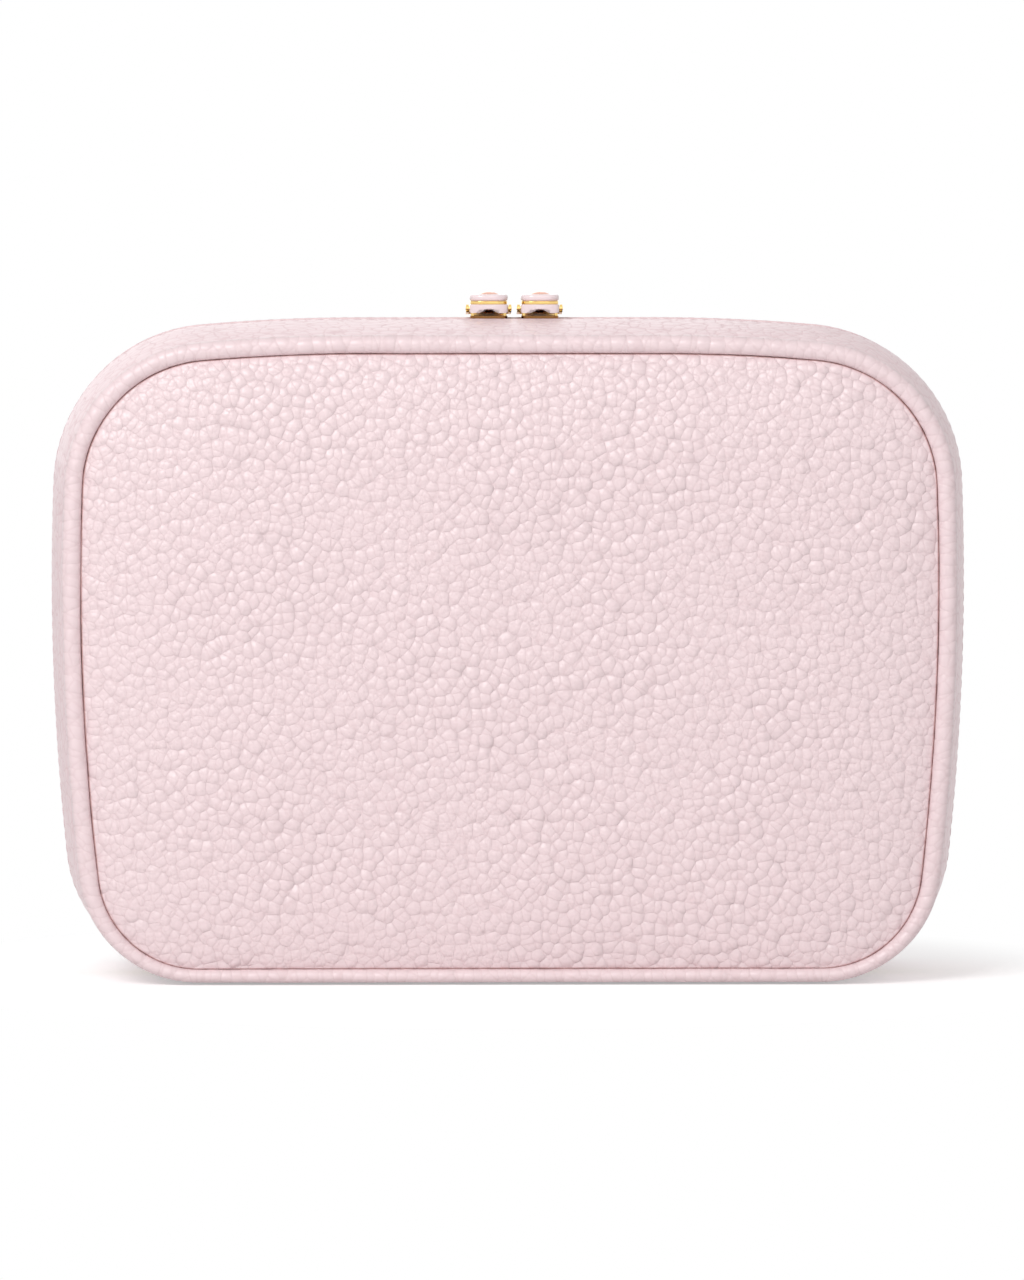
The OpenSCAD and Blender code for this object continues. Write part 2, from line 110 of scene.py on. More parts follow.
slot_y = gusset_low[1]
edge_y = gusset_high[1]
gusset_floor = gusset_low[2]
piping_r = (piping_high[1] - piping_low[1]) / 2
piping_y = (piping_high[1] + piping_low[1]) / 2
piping_in = half_w - piping_high[0] + piping_r
floor_press = piping_in - (piping_low[2] + piping_r)
panel_in = half_w - panel_high[0]
panel_floor = panel_low[2]
piping_floor = piping_low[2]
piping_squash = 1.3 * MM
piping_floor_r = piping_r - piping_squash / 2
print(f"case {2 * half_w / MM:.1f} mm wide, piping {2 * piping_r / MM:.1f} mm thick")


# %% [markdown]
# ## The outline
# All rings of the case follow one outline. A ring that lies deeper has smaller arcs about the same
# centres, so the arcs still touch and every ring has its points on the same normals. Underneath, the
# weight of the case presses the layers together, so the height of the underside is given apart.

# %% One outline for every ring
side_c = np.array([half_w - side_bow_r, widest_z])
bow_c = np.array([top_flat, top_z - top_bow_r])


def meeting_point(a, ra, b, rb):
    """The upper point that lies ra from a and rb from b: along the line of centres, then square to it."""
    d = np.linalg.norm(b - a)
    u = (b - a) / d
    along = (ra * ra - rb * rb + d * d) / (2 * d)
    across = math.sqrt(ra * ra - along * along)
    return a + along * u + across * np.array([-u[1], u[0]])


top_c = meeting_point(side_c, side_bow_r - top_corner_r, bow_c, top_bow_r - top_corner_r)
# about how far each arc turns, in radians: this only sets how many points the arc gets
BOTTOM_TURN, SIDE_TURN, TOP_TURN, BOW_TURN = 1.46, 0.145, 1.43, 0.09


def angle_of(v):
    return math.atan2(v[1], v[0])


def arc(centre, radius, start, end, steps):
    """Points of an arc at even angles from start to end, without the last one."""
    a = start + (end - start) * np.arange(steps) / steps
    return centre + radius * np.stack([np.cos(a), np.sin(a)], axis=1)


def line(start, end, steps):
    """Points at even distances from start to end, without the last one."""
    f = (np.arange(steps) / steps)[:, None]
    return np.array(start) * (1 - f) + np.array(end) * f


def outline(inset, floor_z, spacing=1.0 * MM):
    """The closed outline, from the middle of the underside up the right side, over the top and down the
    left. Each stretch has as many points as its length at inset 0 divided by the spacing."""
    corner_z = floor_z - inset + bottom_corner_r
    reach = side_bow_r - bottom_corner_r
    bottom_x = side_c[0] + math.sqrt(reach * reach - (corner_z - side_c[1]) ** 2)
    bottom_c = np.array([bottom_x, corner_z])
    flat_x = side_c[0] + math.sqrt(reach * reach - (gusset_floor + bottom_corner_r - side_c[1]) ** 2)
    low = angle_of(bottom_c - side_c)
    high = angle_of(top_c - side_c)
    turn = angle_of(top_c - bow_c)

    def count(length):
        return max(2, round(length / spacing))

    right = np.concatenate([
        line([0, floor_z], [bottom_x, floor_z], count(flat_x)),
        arc(bottom_c, bottom_corner_r - inset, -math.pi / 2, low, count(bottom_corner_r * BOTTOM_TURN)),
        arc(side_c, side_bow_r - inset, low, high, count(side_bow_r * SIDE_TURN)),
        arc(top_c, top_corner_r - inset, high, turn, count(top_corner_r * TOP_TURN)),
        arc(bow_c, top_bow_r - inset, turn, math.pi / 2, count(top_bow_r * BOW_TURN)),
        line([top_flat, top_z - inset], [0, top_z - inset], count(top_flat)),
        [[0, top_z - inset]],
    ])
    left = right[-2:0:-1] * [-1, 1]
    return np.concatenate([right, left])


def pressed(inset):
    """The height of the underside of a layer that lies this far in, with the weight of the case on it."""
    return inset - floor_press


print("outline:", len(outline(0, gusset_floor)), "points")


# %% [markdown]
# ## From arrays to a mesh
# A shape is a grid of points: rows across the part, columns along it. The grid may close on itself
# either way, and a pole can close its first and last row. The faces come from index arrays, and the
# sign of the enclosed volume says whether they have to be turned to face outwards.

# %% Build a mesh from a grid of points
def enclosed_volume(points, faces):
    """Signed volume: the sum of the tetrahedra from the origin to each triangle of the faces' fans."""
    total = 0.0
    for k in range(1, faces.shape[1] - 1):
        a, b, c = points[faces[:, 0]], points[faces[:, k]], points[faces[:, k + 1]]
        total += np.einsum("ij,ij->i", a, np.cross(b, c)).sum() / 6
    return total


def grid_shape(grid, wrap_rows=False, wrap_columns=True, poles=None, uv=None):
    """Points, faces and map of a grid of shape (rows, columns, 3). Poles are two points that close the
    first and the last row. Rows that wrap and columns that don't give a bar with a cap at each end."""
    rows, columns = grid.shape[:2]
    index = np.arange(rows * columns).reshape(rows, columns)
    row_ring = np.concatenate([index, index[:1]]) if wrap_rows else index
    ring = np.concatenate([row_ring, row_ring[:, :1]], axis=1) if wrap_columns else row_ring
    quads = np.stack([ring[:-1, :-1], ring[:-1, 1:], ring[1:, 1:], ring[1:, :-1]], axis=-1).reshape(-1, 4)
    points = grid.reshape(-1, 3)
    faces, volume = quads.tolist(), enclosed_volume(points, quads)
    uv = np.zeros((rows, columns, 2)) if uv is None else uv
    uv = uv.reshape(-1, 2)
    if poles is not None:
        n = len(points)
        points = np.concatenate([points, np.array(poles, float)])
        first, last = ring[0], ring[-1]
        start = np.stack([np.full(len(first) - 1, n), first[1:], first[:-1]], axis=1)
        end = np.stack([np.full(len(last) - 1, n + 1), last[:-1], last[1:]], axis=1)
        fans = np.concatenate([start, end])
        volume += enclosed_volume(points, fans)
        faces += fans.tolist()
        uv = np.concatenate([uv, uv[:1], uv[-1:]])
    elif wrap_rows and not wrap_columns:
        caps = np.stack([index[:, 0], index[::-1, -1]])
        volume += enclosed_volume(points, caps)
        faces += caps.tolist()
    if volume < 0:
        faces = [face[::-1] for face in faces]
    return points, faces, uv


def make_piece(name, *shapes):
    """One smooth shaded object from one or more shapes."""
    starts = np.cumsum([0] + [len(shape[0]) for shape in shapes])
    points = np.concatenate([shape[0] for shape in shapes])
    uv = np.concatenate([shape[2] for shape in shapes])
    faces = [[int(start) + v for v in face] for start, shape in zip(starts, shapes) for face in shape[1]]
    mesh = bpy.data.meshes.new(name)
    mesh.from_pydata(points.tolist(), [], faces)
    corner = np.empty(len(mesh.loops), np.int32)
    mesh.loops.foreach_get("vertex_index", corner)
    layer = mesh.uv_layers.new(name="along")
    layer.data.foreach_set("uv", uv[corner].astype(np.float32).ravel())
    mesh.polygons.foreach_set("use_smooth", np.ones(len(mesh.polygons), bool))
    mesh.update()
    piece = bpy.data.objects.new(name, mesh)
    bpy.context.scene.collection.objects.link(piece)
    return piece


def grid_piece(name, grid, **settings):
    return make_piece(name, grid_shape(grid, **settings))


def set_values(piece, name, values):
    """Stores one number per point in the mesh, for a material to read."""
    attribute = piece.data.attributes.new(name, "FLOAT", "POINT")
    attribute.data.foreach_set("value", np.asarray(values, np.float32).ravel())


# %% [markdown]
# Soft things are never quite even. A sum of many slow waves with random directions gives a smooth,
# repeatable unevenness: it has no steps, and the same seed gives the same waves.

# %% A smooth unevenness
def unevenness(points, wavelength, seed, waves=28):
    """Sum of cosines of random directions and phases, with wavelengths near the given one. About -1 to 1."""
    rng = np.random.default_rng(seed)
    direction = rng.normal(size=(waves, 3))
    direction /= np.linalg.norm(direction, axis=1, keepdims=True)
    number = 2 * math.pi / (wavelength * rng.uniform(0.75, 1.5, waves))
    phase = rng.uniform(0, 2 * math.pi, waves)
    shape = points.shape[:-1]
    angle = points.reshape(-1, 3) @ (direction * number[:, None]).T + phase
    return (np.cos(angle).sum(axis=1) * math.sqrt(2 / waves) / 1.6).reshape(shape)


def points_of(x, y, z):
    """Points from their three coordinates, stretched to one common shape."""
    return np.stack(np.broadcast_arrays(x, y, z), axis=-1)


def in_space(flat, y):
    """Points (x, z) of an outline as points (x, y, z)."""
    return points_of(flat[:, 0], y, flat[:, 1])


def sweep(stations, spacing=1.0 * MM):
    """A grid whose rows follow the outline, one for each station (inset, floor height, y)."""
    return np.stack([in_space(outline(i, f, spacing), y) for i, f, y in stations])


def lengths(grid):
    """For each point, the distance along its row and the distance down its column, from the middle row."""
    step = np.linalg.norm(np.diff(grid, axis=1), axis=2)
    along = np.concatenate([np.zeros((len(grid), 1)), np.cumsum(step, axis=1)], axis=1)
    along = np.broadcast_to(along[len(grid) // 2], grid.shape[:2])
    down = np.linalg.norm(np.diff(grid, axis=0), axis=2)
    across = np.concatenate([np.zeros((1, grid.shape[1])), np.cumsum(down, axis=0)])
    return np.stack([along, across], axis=-1)


HALVES = (("back", "root", 1), ("front", "lid", -1))


def on_half(points, sign):
    """The same points on the back half (sign 1) or, mirrored, on the front half (sign -1)."""
    return np.asarray(points) * [1, sign, 1]


# %% [markdown]
# ## Materials from nodes
# A helper adds a node and fills its inputs, either with a value or with another node's output. With
# it, a material reads as a list of steps.

# %% Helpers for node materials
def add_node(tree, kind, inputs=None, **settings):
    """Adds a node. Inputs are named or numbered sockets, with a value or an output to link."""
    node = tree.nodes.new("ShaderNode" + kind)
    for key, value in settings.items():
        setattr(node, key, value)
    for key, value in (inputs or {}).items():
        if isinstance(value, bpy.types.NodeSocket):
            tree.links.new(value, node.inputs[key])
        else:
            node.inputs[key].default_value = value
    return node


def calc(tree, operation, a, b=0.0, c=0.0):
    return add_node(tree, "Math", {0: a, 1: b, 2: c}, operation=operation).outputs[0]


def vector_calc(tree, operation, a, b):
    return add_node(tree, "VectorMath", {0: a, 1: b}, operation=operation).outputs[0]


def weighted_sum(tree, *pairs):
    """The sum of value times weight over all pairs."""
    total = 0.0
    for value, weight in pairs:
        total = calc(tree, "MULTIPLY_ADD", value, weight, total)
    return total


def ramp(tree, value, low, high, to_low=0.0, to_high=1.0):
    """Maps value from low..high to to_low..to_high with a soft start and end."""
    inputs = {"Value": value, "From Min": low, "From Max": high, "To Min": to_low, "To Max": to_high}
    return add_node(tree, "MapRange", inputs, interpolation_type="SMOOTHSTEP").outputs[0]


def mix_colour(tree, factor, a, b):
    node = add_node(tree, "Mix", {"Factor": factor}, data_type="RGBA")
    for socket, value in ((node.inputs[6], a), (node.inputs[7], b)):
        if isinstance(value, bpy.types.NodeSocket):
            tree.links.new(value, socket)
        else:
            socket.default_value = (*value, 1)
    return node.outputs[2]


def noise(tree, place, size, detail=2.0):
    """A soft noise, about 0 to 1, whose patches are about this size."""
    node = add_node(tree, "TexNoise", {"Vector": place, "Scale": 1 / size, "Detail": detail})
    return node.outputs["Fac"]


def own_place(tree):
    return add_node(tree, "TexCoord").outputs["Object"]


# %% [markdown]
# A material starts as the Principled shader, and two more helpers connect what most of the finishes
# below need: a height that roughens the surface, and a colour that varies over it.

# %% Helpers for a finish
def new_material(name, **values):
    """A material with a Principled shader, whose sockets get the given plain values."""
    material = bpy.data.materials.new(name)
    material.use_nodes = True
    tree = material.node_tree
    shader = tree.nodes["Principled BSDF"]
    for key, value in values.items():
        shader.inputs[key.replace("_", " ").title()].default_value = value
    return material, tree, shader


def set_bump(tree, shader, height, distance, strength=1.0):
    bump = add_node(tree, "Bump", {"Height": height, "Distance": distance, "Strength": strength})
    tree.links.new(bump.outputs[0], shader.inputs["Normal"])


def set_colour(tree, shader, colour):
    tree.links.new(colour, shader.inputs["Base Color"])


# %% [markdown]
# ## Pebbled leather
# The grain of tumbled calf is a net of creases round small pebbles about 2.5 mm wide. A cell texture
# gives both: the distance to the middle of a cell makes the dome of a pebble, and the distance to its
# edge the crease. The place is bent by noise first, so that the cells lose their straight sides. A
# second, finer net breaks up the large pebbles, and a slower noise decides which of the two leads.
# Creases get a little darker colour as painted shade, and beside a seam a brown painted shade stands for the
# shadow of the crevice.

# %% The leather
PINK = (0.835, 0.672, 0.690)
GUSSET_PINK = (0.86, 0.655, 0.680)
# painted shade colour: the darker pink of the grain's creases
CREASE_SHADE_PINK = (0.66, 0.47, 0.485)
# painted shade colour: the brown that stands for the shadow in the crevice at a seam
SEAM_SHADE_BROWN = (0.42, 0.20, 0.18)
GRAIN_DEPTH = 0.42 * MM
CELL_JITTER = 0.95


def bent_place(tree, place, amount, size):
    """The place, moved about by a soft noise."""
    soft = add_node(tree, "TexNoise", {"Vector": place, "Scale": 1 / size, "Detail": 1.5})
    centred = vector_calc(tree, "SUBTRACT", soft.outputs["Color"], (0.5, 0.5, 0.5))
    moved = vector_calc(tree, "MULTIPLY", centred, (amount, amount, amount))
    return vector_calc(tree, "ADD", place, moved)


def pebbles(tree, place, size):
    """The height of a dome over each cell, and how far the place is from a crease, 0 in the crease."""
    cells = {"Vector": place, "Scale": 1 / size, "Randomness": CELL_JITTER}
    d = add_node(tree, "TexVoronoi", cells).outputs["Distance"]
    edge = add_node(tree, "TexVoronoi", cells, feature="DISTANCE_TO_EDGE").outputs["Distance"]
    dome = calc(tree, "SUBTRACT", 1.0, calc(tree, "MULTIPLY", d, d))
    return dome, ramp(tree, edge, 0.0, 0.10)


def leather(name, cell=2.8 * MM, relief=1.0, squeeze=(1, 1, 1), mapped=False, pink=PINK):
    """Pebbled leather. Relief scales the depth of the grain. A mapped leather draws its cells on the
    part's own map, so that they stretch along it as leather does round a cord."""
    material, tree, shader = new_material(name, roughness=0.45)
    start = add_node(tree, "UVMap", uv_map="along").outputs[0] if mapped else own_place(tree)
    squeezed = add_node(tree, "Mapping", {"Vector": start, "Scale": squeeze}).outputs[0]
    place = bent_place(tree, squeezed, 1.5 * MM, 7 * MM)
    dome, open_part = pebbles(tree, place, cell)
    small_dome = pebbles(tree, place, cell * 0.52)[0]
    slow = noise(tree, start, 40 * MM, 1.0)
    dome_share = ramp(tree, slow, 0.36, 0.64, 1.5, 2.1)
    small_share = ramp(tree, slow, 0.36, 0.64, 0.55, 0.30)
    height = weighted_sum(tree, (dome, dome_share), (open_part, 0.07), (small_dome, small_share))
    set_bump(tree, shader, height, GRAIN_DEPTH * relief)
    # painted shade: the creases of the grain are darkened towards the crease shade pink
    crease = calc(tree, "MULTIPLY", calc(tree, "SUBTRACT", 1.0, open_part), 0.20)
    crease_shaded_colour = mix_colour(tree, crease, pink, CREASE_SHADE_PINK)
    seam_distance = add_node(tree, "Attribute", attribute_name="seam_distance").outputs["Fac"]
    # painted shade: beside a seam the leather turns brown, standing for the shadow in the crevice between
    # panel and piping
    seam_shade = ramp(tree, seam_distance, 0.10 * MM, 0.60 * MM, 0.85, 0.0)
    set_colour(tree, shader, mix_colour(tree, seam_shade, crease_shaded_colour, SEAM_SHADE_BROWN))
    tree.links.new(ramp(tree, open_part, 0.0, 1.0, 0.55, 0.33), shader.inputs["Roughness"])
    return material


panel_leather = leather("panel_leather")
piping_leather = leather("piping_leather", 3.0 * MM, relief=0.60, squeeze=(1.0, 0.55, 1), mapped=True)
gusset_leather = leather("gusset_leather", 3.6 * MM, relief=0.35, pink=GUSSET_PINK)
print("leathers:", panel_leather.name, piping_leather.name, gusset_leather.name)


# %% [markdown]
# ## The padded panels
# Each big face is a leather cover over foam. Seen as a height above its rim, the cover is steep at the
# seam and almost flat in the middle. Rings that shrink towards the middle of the panel carry that
# profile. Near the seam the leather is gathered, so short folds run away from it, and the foam under
# it gives the whole face a very slight unevenness.

# %% Front and back covers
panel_mid_z = (top_z - panel_in + panel_floor) / 2
seam_y = piping_y + 0.2 * MM
rim_out = 0.22 * MM
COVER_SEED = {"back": 9, "front": 5}


def seal(piece, body, slot, material, *nodes):
    """The usual last steps for a piece: its material, its body and the nodes it stands for, which are hidden.
    The slot is not used.
    """
    piece.data.materials.append(material)
    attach(piece, body)
    if nodes:
        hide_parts(*nodes)
    return piece


def panel_grid(rings=64, flatness=5, edge=0.58):
    """Rings at fractions s of the rim's outline, closer together near the rim. The height above the seam
    is the rise times 1 - s to the power of the flatness, all to the power of the edge."""
    s = 1 - (1 - np.linspace(0.03, 1, rings)[:, None]) ** 1.7
    rim = outline(panel_in - rim_out, panel_floor - rim_out)
    rise = (panel_high[1] - seam_y) * np.clip(1 - s ** flatness, 0, 1) ** edge
    grid = points_of(s * rim[:, 0], seam_y + rise, panel_mid_z + s * (rim[:, 1] - panel_mid_z))
    to_seam = np.linalg.norm(grid[:, :, ::2] - rim, axis=-1)
    return grid, to_seam, s


def panel_cover(seed):
    """The cover: a crowned front surface and a flat underside, closed at a pole in the middle of each."""
    grid, to_seam, s = panel_grid()
    foam_swell = 0.22 * MM * unevenness(grid, 38 * MM, seed) - 0.25 * MM
    grid[:, :, 1] += (1 - s ** 6) * foam_swell
    rim_line = np.repeat(grid[-1:], len(grid), axis=0)
    folds = unevenness(rim_line, 5.5 * MM, seed + 1, waves=60)
    fade = np.exp(-to_seam / (4.5 * MM)) * (1 - np.exp(-to_seam / (0.8 * MM)))
    grid[:, :, 1] += 0.16 * MM * folds * fade
    under = grid[[-1, 0]].copy()
    under[:, :, 1] = panel_low[1]
    poles = [[0, grid[0, :, 1].mean(), panel_mid_z], [0, panel_low[1], panel_mid_z]]
    seam = np.concatenate([to_seam, 0 * to_seam[:1], to_seam[:1]]).ravel()
    return np.concatenate([grid, under]), poles, np.concatenate([seam, [seam[0], seam[0]]])


for half, body, sign in HALVES:
    grid, poles, seam = panel_cover(COVER_SEED[half])
    cover = grid_piece(f"{half}_cover", on_half(grid, sign), poles=on_half(poles, sign))
    set_values(cover, "seam_distance", seam)
    seal(cover, body, "panel_leather", panel_leather, f"{half}_panel", f"{half}_pad")
    print(cover.name, len(cover.data.polygons), "faces")


# %% [markdown]
# ## The piping
# The piping is a strip of the same leather wrapped round a soft cord and caught in the seam. It is a
# round section carried along the outline, a little uneven, with fine creases across it where the
# leather is drawn round the cord. Under the case it is pressed flatter by the weight.

# %% Piping round both panels
PIPING_SEED = {"back": 33, "front": 21}


def piping_grid(seed, sides=20):
    """A circle carried along the outline. Its radius varies slowly, and dips in narrow creases."""
    turn = 2 * math.pi * np.arange(sides) / sides
    insets = piping_in + piping_r * np.cos(turn)
    floors = piping_floor + piping_floor_r * (1 + np.cos(turn))
    grid = sweep(zip(insets, floors, piping_y + piping_r * np.sin(turn)), 0.6 * MM)
    centre = grid.mean(axis=0, keepdims=True)
    outwards = (grid - centre) / np.linalg.norm(grid - centre, axis=2, keepdims=True)
    slow = unevenness(centre, 24 * MM, seed)
    crease = unevenness(centre + 0.35 * (grid - centre), 3.4 * MM, seed + 3, waves=48)
    depth = 0.05 * slow - 0.03 * np.clip(crease - 0.3, 0, None) - 0.08
    to_seam = 0.25 * MM + np.minimum(turn, 2 * math.pi - turn) * piping_r
    return grid + outwards * depth[:, :, None] * MM, np.repeat(to_seam, grid.shape[1])


for half, body, sign in HALVES:
    grid, to_seam = piping_grid(PIPING_SEED[half])
    uv = lengths(grid)
    uv[:, :, 0] = np.minimum(uv[:, :, 0], uv[:, -1:, 0] - uv[:, :, 0])
    piping = grid_piece(f"{half}_piping_cord", on_half(grid, sign), wrap_rows=True, uv=uv)
    set_values(piping, "seam_distance", to_seam)
    seal(piping, body, "piping_leather", piping_leather, f"{half}_piping")
    print(piping.name, len(piping.data.polygons), "faces")


# %% [markdown]
# ## The gusset
# The wall of each half is a padded band of leather between the piping and the zip. Across, it is a
# flat bulge that falls towards the piping. At the zip its edge is folded under and stitched down.

# %% Gusset bands
edge_in = half_w - piping_high[0] + 0.8 * MM
bulge_power = 2.2
GUSSET_SEED = {"back": 47, "front": 41}


def gusset_face(y):
    """Inset, floor height and y of the gusset's outer face at distance y from the zip."""
    f = (y / edge_y) ** bulge_power
    return np.array([edge_in * f, gusset_floor + (pressed(edge_in) - gusset_floor) * f, y])


def gusset_stations(turns=9, across=22):
    """The section: over the outer face, round the folded edge, and back along the inner face."""
    r = leather_t / 2
    y = np.linspace(edge_y, slot_y + r, across)
    outer = [gusset_face(v) for v in y]
    a = np.linspace(0, math.pi, turns)[1:-1]
    fold = [outer[-1] + [r - r * math.cos(t), r - r * math.cos(t), -r * math.sin(t)] for t in a]
    inner = [gusset_face(v) + [leather_t, leather_t, 0] for v in y[::-1][::3]]
    return outer + fold + inner


def gusset_grid(seed):
    """The swept section, moved in and out by a slow unevenness that fades at both edges and the floor."""
    grid = sweep(gusset_stations())
    y, z = grid[:, :, 1:2], grid[:, :, 2:]
    from_edges = np.clip((y - slot_y) / (8 * MM), 0, 1) * np.clip((edge_y - y) / (6 * MM), 0, 1)
    from_floor = np.clip(z / (12 * MM), 0, 1)
    outwards = grid * [1, 0, 1] - [0, 0, top_z / 2]
    outwards /= np.linalg.norm(outwards, axis=2, keepdims=True)
    swell = 0.18 * MM * unevenness(grid, 30 * MM, seed)[:, :, None] - 0.15 * MM
    return grid + outwards * from_edges * from_floor * swell


for half, body, sign in HALVES:
    grid = gusset_grid(GUSSET_SEED[half])
    band = grid_piece(f"{half}_gusset_band", on_half(grid, sign), wrap_rows=True)
    set_values(band, "seam_distance", 0.30 * MM + edge_y - grid[:, :, 1])
    seal(band, body, "gusset_leather", gusset_leather, f"{half}_gusset")
    print(band.name, len(band.data.polygons), "faces")


# %% [markdown]
# ## Bars, boxes and profiles
# The straight pieces share two shapes. A bar has a section with rounded corners and rounded ends, so
# that a small metal block and a padded board differ only in their radii. A profile is any flat outline
# with rounded corners, which the plan of the part then makes narrower towards its ends.

# %% Shapes with rounded edges
def rounded_loop(corners, radii, steps=5):
    """A closed flat outline: each corner is cut by an arc that touches both of its sides."""
    corners = np.array(corners, float)
    loop = []
    for k, corner in enumerate(corners):
        before, after = corners[k - 1] - corner, corners[(k + 1) % len(corners)] - corner
        before, after = before / np.linalg.norm(before), after / np.linalg.norm(after)
        half = math.acos(np.clip(before @ after, -1, 1)) / 2
        reach = radii[k] / math.tan(half)
        centre = corner + (before + after) / np.linalg.norm(before + after) * radii[k] / math.sin(half)
        a, b = corner + before * reach - centre, corner + after * reach - centre
        f = np.linspace(0, 1, steps)[:, None]
        mid = a * (1 - f) + b * f
        loop.append(centre + mid / np.linalg.norm(mid, axis=1, keepdims=True) * radii[k])
    return np.concatenate(loop)


def rectangle(a, b, r, steps=5):
    return rounded_loop([(-a, -b), (a, -b), (a, b), (-a, b)], [r] * 4, steps)


def bar(low, high, plan_r, edge_r, axis=2, turns=5, middle=2):
    """A bar between two corners. Its section, square to the axis, has corners of radius plan_r, and its
    two ends curve in over the radius edge_r."""
    low, high = np.array(low, float), np.array(high, float)
    centre, half = (low + high) / 2, (high - low) / 2
    other = [k for k in range(3) if k != axis]
    a, b, c = half[other[0]], half[other[1]], half[axis]
    t = np.linspace(0, math.pi / 2, turns)
    inset = edge_r * (1 - np.sin(t))
    along = -c + edge_r * (1 - np.cos(t))
    flat = np.linspace(along[-1], -along[-1], middle + 2)[1:-1]
    rows = list(zip(along, inset)) + [(z, 0.0) for z in flat] + list(zip(-along[::-1], inset[::-1]))
    grid = []
    for z, i in rows:
        loop = rectangle(a - i, b - i, max(plan_r - i, 0.02 * MM))
        ring = np.zeros((len(loop), 3))
        ring[:, other[0]], ring[:, other[1]], ring[:, axis] = loop[:, 0], loop[:, 1], z
        grid.append(ring + centre)
    ends = np.array([centre, centre])
    ends[0, axis] += rows[0][0]
    ends[1, axis] += rows[-1][0]
    return np.array(grid), ends


def bar_shape(*sizes, **settings):
    grid, ends = bar(*sizes, **settings)
    return grid_shape(grid, poles=ends, uv=grid[:, :, ::2])


# %% [markdown]
# ## Cloth, zip and metal materials
# The lining is a fine satin twill with close diagonal ribs. The tape of the zip is woven as a
# herringbone, so its ribs turn about every millimetre. Both are one wave across the weave, used as
# height and as colour.

# %% Woven materials
def ribs(tree, along, pitch):
    """A wave between 0 and 1, once every pitch."""
    wave = calc(tree, "SINE", calc(tree, "MULTIPLY", along, 2 * math.pi / pitch))
    return calc(tree, "MULTIPLY_ADD", wave, 0.5, 0.5)


def cloth(name, colour, dark, pitch=0.7 * MM, tilt=(1, 0.4, 1), relief=0.10 * MM):
    """Ribs across the direction of the tilt, broken by a fine noise, with darker valleys."""
    material, tree, shader = new_material(name, roughness=0.62)
    place = own_place(tree)
    along = add_node(tree, "VectorMath", {0: place, 1: tilt}, operation="DOT_PRODUCT").outputs["Value"]
    rib = ribs(tree, along, pitch)
    set_bump(tree, shader, weighted_sum(tree, (rib, 1.0), (noise(tree, place, 0.5 * MM), 0.7)), relief, 0.8)
    shade = weighted_sum(tree, (rib, 0.55), (noise(tree, place, 30 * MM), 0.45))
    set_colour(tree, shader, mix_colour(tree, shade, dark, colour))
    return material


def herringbone(name, colour, dark, band=1.2 * MM, pitch=0.6 * MM):
    """Diagonal ribs whose direction turns from band to band across the tape's own map."""
    material, tree, shader = new_material(name, roughness=0.75)
    split = add_node(tree, "SeparateXYZ", {0: add_node(tree, "UVMap", uv_map="along").outputs[0]})
    zigzag = calc(tree, "PINGPONG", split.outputs[1], band)
    rib = ribs(tree, calc(tree, "ADD", split.outputs[0], zigzag), pitch)
    set_bump(tree, shader, rib, 0.10 * MM, 0.8)
    set_colour(tree, shader, mix_colour(tree, rib, dark, colour))
    return material


lining_cloth = cloth("lining_cloth", (0.70, 0.49, 0.46), (0.50, 0.31, 0.29))
divider_cloth = cloth("divider_cloth", (0.74, 0.54, 0.51), (0.56, 0.37, 0.35))
hook_tape = cloth("hook_tape", (0.56, 0.40, 0.38), (0.34, 0.22, 0.21), 1.3 * MM, relief=0.3 * MM)
elastic = cloth("elastic", (0.66, 0.46, 0.44), (0.42, 0.27, 0.26), 0.9 * MM, (0, 0, 1), 0.2 * MM)
thread = cloth("thread", (0.84, 0.66, 0.68), (0.60, 0.42, 0.44), 0.5 * MM, relief=0.08 * MM)
zip_tape_cloth = herringbone("zip_tape", (0.80, 0.62, 0.63), (0.56, 0.39, 0.40))
print("woven materials made")


# %% [markdown]
# The metals are polished, with a faint cloudiness in their roughness, and the enamel is a pale pearly
# pink under a clear coat. The board and the foam inside are only seen where a cover is taken off, so
# they get a plain granular finish.

# %% Metals, enamel and filling
GOLD = (0.93, 0.66, 0.25)


def metal(name, colour, roughness):
    """A polished metal with a slightly uneven polish."""
    material, tree, shader = new_material(name, metallic=1.0)
    cloud = noise(tree, own_place(tree), 1.5 * MM)
    rough = ramp(tree, cloud, 0.3, 0.7, roughness * 0.7, roughness * 1.3)
    tree.links.new(rough, shader.inputs["Roughness"])
    darker = tuple(0.8 * c for c in colour)
    set_colour(tree, shader, mix_colour(tree, calc(tree, "MULTIPLY", cloud, 0.25), colour, darker))
    return material


def pearl(name, colour, cloudy):
    """Enamel: a smooth coat over a cloudy pearl colour."""
    material, tree, shader = new_material(name, roughness=0.18, coat_weight=0.6)
    set_colour(tree, shader, mix_colour(tree, noise(tree, own_place(tree), 2.2 * MM), colour, cloudy))
    return material


def grained(name, colour, dark, size):
    """A dull, granular inner material."""
    material, tree, shader = new_material(name, roughness=0.9)
    grain = noise(tree, own_place(tree), size, 3.0)
    set_colour(tree, shader, mix_colour(tree, grain, dark, colour))
    set_bump(tree, shader, grain, 0.1 * MM)
    return material


def dress(names, material):
    """Gives CAD nodes that stay as they are this material."""
    for node in bpy.data.objects:
        if node.type == "MESH" and node.name in names:
            node.data.materials.clear()
            node.data.materials.append(material)


